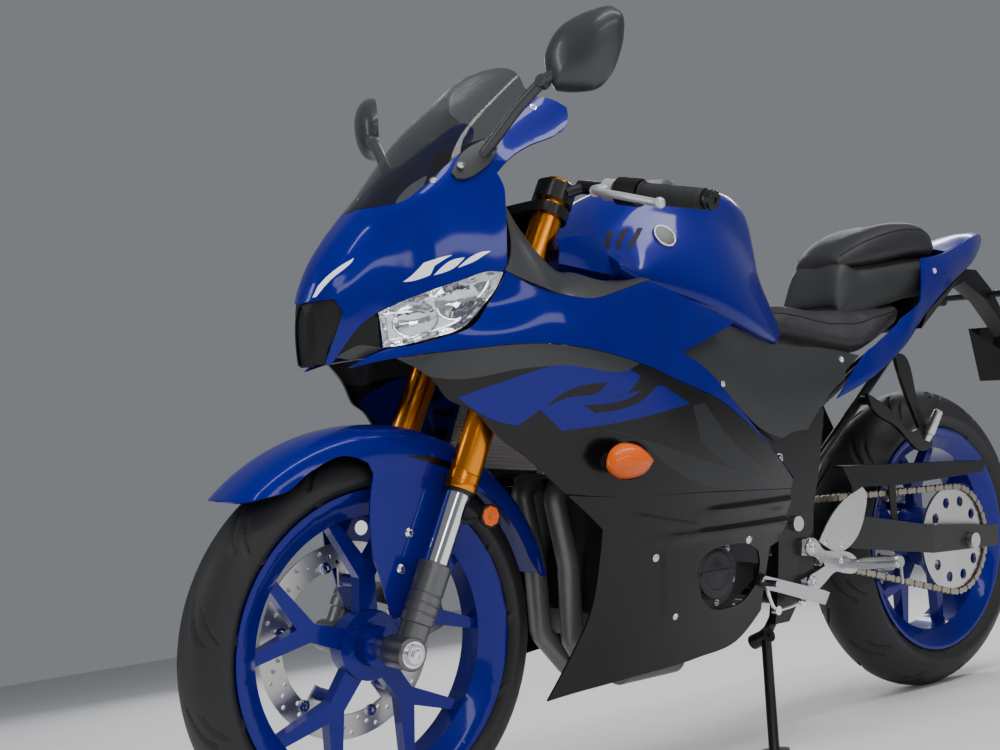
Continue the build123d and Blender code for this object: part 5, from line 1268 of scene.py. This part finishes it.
# %% Grips and bar ends
BAR_IN, BAR_OUT = np.array([340.0, 128.0, 976.0]), np.array([291.0, 350.0, 926.0])
bar_way = unit(BAR_OUT - BAR_IN)
bar_length = np.linalg.norm(BAR_OUT - BAR_IN)
RIB_PITCH = 4.4
grip_profile = [(120.3, 11.3), (120.3, 17.5), (125, 17.5), (126, 15.2)]
for place in np.arange(128.0, bar_length - 10, RIB_PITCH):
    grip_profile += counted(place, (0, 15.2), (0.6, 16.2), (2.4, 16.2), (3.0, 15.2))
grip_profile += counted(bar_length, (-5, 15.2), (-4, 16.4), (-2, 16.4), (-2, 11.3))
BAR_END = [(0.3, 0), (0.3, 14.5), (3, 15.2), (6, 15.2), (7, 14), (9, 14), (10, 15.2), (14, 15.2), (16, 13.5),
           (16, 5), (14, 5), (14, 0)]
grip = turned(grip_profile, BAR_IN, bar_way, 36)
gathered("ribbed_grips", both([grip]), grip_rubber, "grip_rubber", "steering", "grips")
gathered("bar_ends", both([turned(BAR_END, BAR_OUT, bar_way, 36)]), black_enamel, "gunmetal", "steering")

# %% [markdown]
# ## Mirrors
# The mirrors stand far out on stalks so that the rider sees past the elbows. The housing is a dome over an
# angular outline, and the glass is the same outline, a little smaller, on its flat back.

# %% Mirrors
MIRROR_AT = np.array([476.0, 240.0, 1092.0])
MIRROR_OUT = np.array([0.893, 0.45, 0.0])
MIRROR_LOOP = [(2, -4), (-9, 18), (-13, 42), (-4, 66), (14, 86), (38, 97), (66, 103), (94, 103), (106, 92),
               (107, 62), (99, 34), (84, 6), (66, -8), (36, -10)]
MIRROR_MIDDLE, GLASS_SHARE = 46.0, 0.9  # of the outline, both ways, and the glass's size as a share of it
STALK = [(528, 116, 1006), (520, 150, 1034), (506, 196, 1076), (494, 232, 1102), (487, 252, 1112)]
shell = domed(MIRROR_LOOP, MIRROR_AT, MIRROR_OUT, UP, 33.0, 1.1, 14, 3.0)
stalk = tube(STALK, 8.5, 16)
knuckle = turned([(-9, 0), (-9, 8), (-7, 10), (7, 10), (9, 8), (9, 0)], STALK[3], (0.9, 0.3, 0.2), 24)
inner_loop = MIRROR_MIDDLE + (np.array(MIRROR_LOOP) - MIRROR_MIDDLE) * GLASS_SHARE
glass = domed(inner_loop * (-1, 1), MIRROR_AT - MIRROR_OUT * 0.4, -MIRROR_OUT, UP, 0.6, 1.0, 4)
gathered("mirror_shells", both([shell, stalk, knuckle]), shell_gray, "black_plastic", "chassis", "mirrors")
gathered("mirror_glass", both([glass]), mirror_glass, "mirror_silver", "chassis")
MIRROR_FOOT = [(582, 116), (577, 126), (566, 131), (535, 129), (506, 125), (494, 118), (500, 108), (530, 102),
               (562, 105)]
panel("mirror_foot", nose, MIRROR_FOOT, shell_gray, "black_plastic", wall=5.0, unrolled=True, step=5.0,
      push=5.5, bevel=1.6)

# %% [markdown]
# ## Fasteners and fittings on the body
# Domed bolts hold the panels to their stays. Each one is turned, washer and all, and stands square to the
# panel beneath it.


# %% Bolts on a skin
def on_skin(skin, x, s, height=0.0):
    """The point of a skin at (x, s), raised by height, and the outward direction there."""
    low, high = skin.points([x, x], [s, s], [0.0, 1.0])
    return low + (high - low) * height, high - low


DOME = ((0, 1), (0.35, 0.9), (0.6, 0.62), (0.66, 0.36))  # height and radius of a bolt's head, as shares


def dome_bolt(at, way, radius):
    """A round-headed bolt with its washer and a socket, as one lathe shape."""
    washer = [(-1, 0), (-1, radius * 1.35), (0.8, radius * 1.35)]
    head = [(0.8 + radius * up_by, radius * out_by) for up_by, out_by in DOME]
    socket = [(1.4, radius * 0.34), (1.4, 0)]
    return turned([*washer, *head, *socket], at, way, 24)


# skin, x, distance down the section, height above the skin, radius
SKIN_BOLTS = [(cover_skin, -290, cover_skin.down_to(-290, 692)[0], 0, 5.0), (tail_skin, -654, 30, 0, 5.0),
              (nose, 606, 106, 0, 4.0), (nose, 413, 109, 0, 4.0),
              (side, 119, side.down_to(119, 655)[0], 0, 4.0),
              (nose, 568, 117, 10, 4.0), (nose, 508, 117, 10, 4.0)]
chassis_bolts = [dome_bolt(*on_skin(skin, x, s, height), size) for skin, x, s, height, size in SKIN_BOLTS]
chassis_bolts += [dome_bolt((-111, 125, 517), LEFT, 7.5), dome_bolt((-245, 125, 347), LEFT, 5.0)]
gathered("panel_bolts", both(chassis_bolts), chrome, "bright_alloy", "chassis")
fender_bolts = [dome_bolt((x, 66.4, z), LEFT, 8.5) for x, z in ((650, 457), (667, 406))]
gathered("fender_bolts", both(fender_bolts), chrome, "bright_alloy", "steering")

# %% [markdown]
# ## Tank trim
# A bare round plate and four slots that lean back sit on the tank's own skin.

# %% Badge and vents of the tank
badge_at, badge_way = on_skin(tank_skin, 172, tank_skin.down_to(172, 903)[0])
BADGE_RING = [(-2, 0), (-2, 22), (2.2, 22), (3.2, 21), (3.2, 19), (1.8, 18), (1.8, 0)]
BADGE_FACE = [(1.8, 0), (1.8, 17.9), (2.2, 17.5), (2.6, 12), (2.8, 0)]
badge_ring, badge_face = (turned(profile, badge_at, badge_way, 48) for profile in (BADGE_RING, BADGE_FACE))
gathered("bare_badge", both([badge_ring]), satin_alloy, "bright_alloy", "chassis")
gathered("badge_face", both([badge_face]), gunmetal, "gunmetal", "chassis")
SLOTS = ((306, 881, 904), (286, 880, 912), (266, 880, 915), (246, 880, 917))  # x, lowest z and highest z
SLOT_LEAN = 0.95  # back for each millimetre up
for number, (x, low_z, high_z) in enumerate(SLOTS, 1):
    back = x - SLOT_LEAN * (high_z - low_z)
    slot_line = [(x - 4, low_z), (x + 4, low_z), (back + 4, high_z), (back - 5, high_z)]
    panel(f"tank_vent_{number}", tank_skin, slot_line, black_moulded, "black_plastic", wall=0.8, step=4.0,
          push=0.4, bevel=0.2)

# %% [markdown]
# ## Signals
# A front turn signal is a leaf-shaped amber lens on a short black stem, a dome over a given outline.
# A rear one is round, so its lens and its stem are both turned.

# %% Signals
SIGNAL_AT = np.array([367.0, 239.0, 546.0])
LEAF = [(44, -6), (37, 14), (16, 26), (-10, 24), (-34, 10), (-46, -2), (-32, -18), (-4, -27), (26, -23)]
REAR_SIGNAL_AT = (-985, 0, 835)
SHELL_SHARE = 1.06  # size of the shell behind a leaf, as a share of the leaf
leaf_loop = np.array(LEAF)[::-1] * (-1, 1)
leaf = domed(leaf_loop, SIGNAL_AT, LEFT, UP, 25.0, 1.05, 12, 2.0)
rear_lens = turned([(132, 17), (136, 16), (140, 11), (141.5, 5), (142, 0)], REAR_SIGNAL_AT, LEFT, 28)
gathered("signal_lenses", both([leaf, rear_lens]), amber, "amber_lens", "chassis", "indicators")
front_back = domed(leaf_loop * SHELL_SHARE, SIGNAL_AT, (0, -1, 0), UP, 8.0, 1.0, 6)
front_stem = turned([(196, 0), (196, 15), (204, 12), (232, 11), (232, 0)], (375, 0, 546), LEFT, 28)
rear_back = turned([(21.3, 0), (21.3, 8), (86, 7), (90, 12), (94, 17), (132, 18), (132, 0)], REAR_SIGNAL_AT,
                   LEFT, 28)
signal_backs = both([front_back, front_stem, rear_back])
gathered("signal_shells", signal_backs, black_moulded, "black_plastic", "chassis")

# %% [markdown]
# ## Reflectors
# A round reflector sits on a small arm outside each fork leg. It is moulded in eight sectors, each tilted
# its own way, so that some part of it always shines back. A turned shape with only eight sides gives them.

# %% Reflector beside each fork leg
REFLECTOR_AT = np.array([545.0, 0.0, 474.0])
SECTORS = 8
sectors = turned([(128.2, 0), (131.0, 7), (129.8, 15.4), (126, 15.4), (126, 0)], REFLECTOR_AT, LEFT, SECTORS)
rim_ring = turned([(122, 0), (122, 17), (124, 18), (129, 18), (130, 17), (130, 15.6), (126, 15.6), (126, 0)],
                  REFLECTOR_AT, LEFT, 40)
leg_at = on_axis(leg_height(REFLECTOR_AT[2]), LEG_LEAD, LEG_Y)
arm = tube([REFLECTOR_AT + (2, 123, 0), REFLECTOR_AT + (10, 116, -4), leg_at + (-10, 6, -4), leg_at], 4.5)
gathered("reflector_sectors", both([sectors]), amber, "amber_lens", "steering", "reflectors", sharp=5.0)
gathered("reflector_rims", both([rim_ring, arm]), black_moulded, "black_plastic", "steering")

# %% [markdown]
# ## Drive chain
# Each link is two waisted plates on a pair of rollers. The belt of the chain is worked out once, two arcs
# and two tangents, and every link then takes its place along it at an equal pitch.

# %% Chain
LINK = 15.875  # pitch of the chain
PINION_AT, PINION_TEETH, SPROCKET_TEETH = np.array([-55.0, 400.0]), 14, 43
CHAIN_Y = 92.0
wheel_at = np.array([REAR_HUB[0], REAR_HUB[2]])
small_r, big_r = (LINK / (2 * sin(pi / teeth)) for teeth in (PINION_TEETH, SPROCKET_TEETH))
gap = PINION_AT - wheel_at
span = np.linalg.norm(gap)
heading = atan2(gap[1], gap[0])
tilt = np.arccos((big_r - small_r) / span)
run = sqrt(span**2 - (big_r - small_r) ** 2)
big_turn, small_turn = 2 * pi - 2 * tilt, 2 * tilt
length = 2 * run + big_turn * big_r + small_turn * small_r
links = int(round(length / LINK / 2)) * 2


def round_at(centre, radius, angle):
    """The point (x, z) of a circle at each angle from ahead."""
    return centre + radius * np.stack([np.cos(angle), np.sin(angle)], axis=-1)


def along_chain(s):
    """The point (x, z) at a distance s along the belt, from the top of the big sprocket forwards: a straight
    run, the arc round the pinion, the run back and the arc round the big sprocket."""
    top, low = heading + tilt, heading - tilt
    top_big, low_big = (round_at(wheel_at, big_r, angle) for angle in (top, low))
    top_small, low_small = (round_at(PINION_AT, small_r, angle) for angle in (top, low))
    a, b, c = run, run + small_turn * small_r, 2 * run + small_turn * small_r
    small_arc = round_at(PINION_AT, small_r, top - (s - a) / small_r)
    big_arc = round_at(wheel_at, big_r, low - (s - c) / big_r)
    s = s[:, None]
    ahead_part = top_big + (top_small - top_big) * s / run
    back_part = low_small + (low_big - low_small) * (s - b) / run
    return np.where(s < a, ahead_part, np.where(s < b, small_arc, np.where(s < c, back_part, big_arc)))


PLATE_END, PLATE_WAIST = 6.6, 4.6  # radius of a plate's ends, and half of its height between them
PLATE_HALF = 0.8  # half of a plate's thickness
OUTER, INNER_PLATE = 7.4, 5.4  # distance of the two kinds of plate from the chain's middle
ROLLER = [(-8.4, 0), (-8.4, 2.4), (-4.6, 2.4), (-4.6, 5.0), (4.6, 5.0), (4.6, 2.4), (8.4, 2.4), (8.4, 0)]
pins = along_chain(np.arange(links) * length / links)
chain_parts = []
ends = np.radians([100, 140, 180, 220, 260])
for number in range(links):
    a, b = pins[number], pins[(number + 1) % links]
    way = unit(b - a)
    across = np.array([-way[1], way[0]])
    middle = (a + b) / 2
    turn = np.cos(ends)[:, None] * way + np.sin(ends)[:, None] * across
    waist = PLATE_WAIST * across
    outline = np.array([*(a + PLATE_END * turn), middle - waist, *(b - PLATE_END * turn), middle + waist])
    for sign in (1, -1):
        y = CHAIN_Y + sign * (OUTER if number % 2 else INNER_PLATE)
        chain_parts.append(prism(outline, y - PLATE_HALF, y + PLATE_HALF))
    chain_parts.append(turned(ROLLER, (a[0], CHAIN_Y, a[1]), LEFT, 8))
gathered("chain", chain_parts, chain_steel, "chain_steel", "chassis", "drive_chain")
print("chain links:", links)

# %% [markdown]
# ## Engine and cooling
# Only the clutch and generator covers of the engine show through the fairing. The radiator's core is a
# stack of thin rows between two tanks of bare alloy.

# %% Covers and radiator core
COVER_AT = np.array([102.0, 0.0, 342.0])
LID = [(147.5, 0), (147.5, 47), (150, 47.5), (152, 46), (152, 43), (158, 42), (161, 38), (161.8, 30),
       (160.6, 28.5), (160.6, 16), (161.8, 14), (161.8, 0)]
BOLT_CIRCLE = 54.0
lid_bolts = [dome_bolt(COVER_AT + (BOLT_CIRCLE * cos(a), 148, BOLT_CIRCLE * sin(a)), LEFT, 4.0)
             for a in np.radians(range(20, 380, 60))]
lid = turned(LID, COVER_AT, LEFT, 64)
bar = block(COVER_AT + (-38, 160, -3.5), COVER_AT + (38, 163.2, 3.5))
gathered("engine_lids", both([lid, bar]), cast_alloy, "engine_gray", "chassis", bevel=0.8)
gathered("lid_bolts", both(lid_bolts), satin_alloy, "bright_alloy", "chassis")

CORE_HALF = 122.0  # half of the core's width
ROW_PITCH = 6.2
ROW = ((0.4, 0.0), (2.6, 0.9), (2.6, 2.4), (0.4, 3.3))  # height above the core and place of a row's corners
core_low, core_high = np.array([448.0, 529.0]), np.array([385.0, 690.0])
core_way = unit(core_high - core_low)
core_out = np.array([core_way[1], -core_way[0]])
rows = np.array([core_low + core_way * (distance + at) + core_out * lift
                 for distance in np.arange(6, 168, ROW_PITCH) for lift, at in ROW])
core = [np.column_stack([rows[:, 0], np.full(len(rows), y), rows[:, 1]]) for y in (-CORE_HALF, CORE_HALF)]
core_points, core_faces = np.stack(core, axis=1).reshape(-1, 3), grid_faces(len(rows), 2, wrap=False)
gathered("radiator_rows", [(core_points, core_faces)], fin_silver, "gray_steel", "chassis", sharp=20)
tank_loop = np.array([core_low - core_out * 2, core_low + core_out * 3.5, core_high + core_out * 3.5,
                      core_high - core_out * 2])
gathered("radiator_tanks", both([prism(tank_loop, 123.0, 140.0)]), satin_alloy, "bright_alloy", "chassis",
         bevel=1.5)

# %% [markdown]
# ## Flat forged plates
# The footrest hangers are forged, then trimmed and drilled, so they are drawn as outlines of even
# thickness with generous corner radii. The heel guard is a separate brushed sheet.


# %% Slabs
def slab(outline, y_low, y_high, sharp=60):
    """A plate with a smooth (x, z) outline between two values of y, as (points, faces)."""
    loop = loop_points(outline, step=5.0, sharp=sharp)
    count = len(loop)
    points = [np.column_stack([loop[:, 0], np.full(count, y), loop[:, 1]]) for y in (y_low, y_high)]
    sides = [[i, (i + 1) % count, count + (i + 1) % count, count + i] for i in range(count)]
    return np.concatenate(points), [list(range(count)), list(range(count, 2 * count)), *sides]


PEG_PLATE = [(-153, 368), (-190, 366), (-213, 344), (-259, 338), (-300, 324), (-316, 308), (-306, 294),
             (-271, 294), (-246, 300), (-210, 283), (-187, 272), (-151, 277), (-145, 297), (-175, 303),
             (-214, 314), (-206, 326), (-178, 336), (-150, 340)]
HEEL_GUARD = [(-332, 450), (-341, 441), (-334, 397), (-307, 357), (-262, 336), (-197, 361), (-245, 411)]
PLATE_MOUNTS = ((-170, 353), (-168, 287))  # where the plate is bolted to the frame
peg_plate = slab(PEG_PLATE, 125.3, 134.0)
guard = slab(HEEL_GUARD, 134.3, 137.0)
peg_rod = turned([(0, 9), (24, 9), (25, 12), (30, 13), (96, 11), (108, 13), (113, 10), (113, 0)],
                 (-292, 127, 308), (-0.052, 1, 0.115), 32)
collars = [turned([(0, 0), (0, 15), (9, 15), (11, 13), (11, 0)], (x, 132, z), LEFT, 32)
           for x, z in PLATE_MOUNTS]
gathered("peg_plates", both([peg_plate, *collars]), satin_alloy, "bright_alloy", "chassis", "footrests")
gathered("heel_guards", both([guard]), brushed_disc, "bright_alloy", "chassis")
gathered("rider_pegs", both([peg_rod]), satin_alloy, "bright_alloy", "chassis")
feeler = turned([(0, 3), (38, 3), (38, 0)], (-297, 238, 318), (0.1, 0.1, -1), 16)
gathered("peg_feelers", both([feeler]), satin_alloy, "bright_alloy", "chassis")
plate_bolts = [dome_bolt((x, 143, z), LEFT, 6.5) for x, z in PLATE_MOUNTS]
plate_bolts += [dome_bolt((x, 137, z), LEFT, 4.5) for x, z in ((-213, 358), (-262, 348))]
plate_bolts += [dome_bolt((-262, 134, 318), LEFT, 5.0)]
gathered("plate_bolts", both(plate_bolts), chrome, "steel", "chassis")
shift_rod = tube([(-34, 150, 300), (-40, 151, 276), (-52, 151, 258), (-80, 151, 257), (-122, 150, 263)], 3.2)
shift_eyes = [turned([(-5, 0), (-5, 8), (5, 8), (5, 0)], (x, 150, z), LEFT, 20)
              for x, z in ((-34, 306), (-56, 256), (-124, 263))]
gathered("shift_linkage", [shift_rod, *shift_eyes], chrome, "steel", "chassis")
HANGER = [(-384, 626), (-394, 602), (-470, 558), (-566, 505), (-590, 514), (-586, 530), (-548, 600),
          (-502, 700), (-476, 702), (-488, 668), (-548, 552), (-530, 546), (-440, 600)]
hanger = slab(HANGER, 113.0, 121.0, sharp=75)
pillion_peg = turned([(0, 0), (0, 8), (14, 9), (16, 11), (62, 9), (66, 7), (66, 0)], (-568, 121, 526),
                     (-0.11, 0.42, 0.9), 28)
stubs = [turned([(95.2, 9), (116, 9)], (-398, 0, 612), LEFT, 24),
         turned([(86.9, 8), (116, 8)], (-486, 0, 698), LEFT, 24)]
gathered("passenger_hangers", both([hanger, *stubs]), black_enamel, "black_steel", "chassis")
gathered("passenger_pegs", both([pillion_peg]), satin_alloy, "bright_alloy", "chassis")

# %% [markdown]
# ## Disc buttons and belly bolts
# The brake disc floats on six round buttons in its carrier, and the belly pan hangs on domed bolts.

# %% Small fittings
BUTTON = [(-1, 0), (-1, 9), (3, 9), (4, 8), (4, 4), (2, 3.4), (2, 0)]
BUTTON_CIRCLE, CARRIER_Y = 117.0, -51.5
button_places = [(FRONT_HUB[0] + BUTTON_CIRCLE * cos(a), CARRIER_Y, FRONT_HUB[2] + BUTTON_CIRCLE * sin(a))
                 for a in np.radians(range(13, 373, 60))]
buttons = [turned(BUTTON, place, LEFT, 24) for place in button_places]
gathered("disc_buttons", buttons, chrome, "steel", "front_wheel")
BELLY_BOLTS = ((269, 480, 4.5), (214, 585, 4.0), (46, 474, 6.0))  # x, distance down the section, radius
belly_bolts = [dome_bolt(*on_skin(side, x, s), size) for x, s, size in BELLY_BOLTS]
gathered("belly_bolts", both(belly_bolts), chrome, "bright_alloy", "chassis")

# %% [markdown]
# ## Mouth of the nose
# The opening between the lamps is closed by a dark screen a few millimetres behind the cowl. It follows
# the cowl's own skin at the sides, and a bowed sheet closes the middle.

# %% Sides and middle of the mouth
panel("mouth_sides", nose, MOUTH, black_moulded, "black_plastic", wall=2.0, bevel=0.3,
      push=-4.0)
MOUTH_GRID = (15, 20)
across, down = (np.linspace(*ends, count) for ends, count in zip(((-20.5, 20.5), (704, 797)), MOUTH_GRID))
y, z = np.meshgrid(across, down, indexing="ij")
# x = 770 + 6 * sqrt(1 - (y / 22) ** 2) - 0.0012 * (z - 750) ** 2: an ellipse across, a parabola down
bow = 770 + 6 * np.sqrt(np.clip(1 - (y / 22) ** 2, 0, 1)) - 0.0012 * (z - 750) ** 2
mouth = mesh_piece("mouth_middle", parked(np.stack([bow, y, z], axis=-1).reshape(-1, 3)),
                   grid_faces(*MOUTH_GRID, wrap=False), [black_moulded])
on_body(mouth, "chassis", "black_plastic")
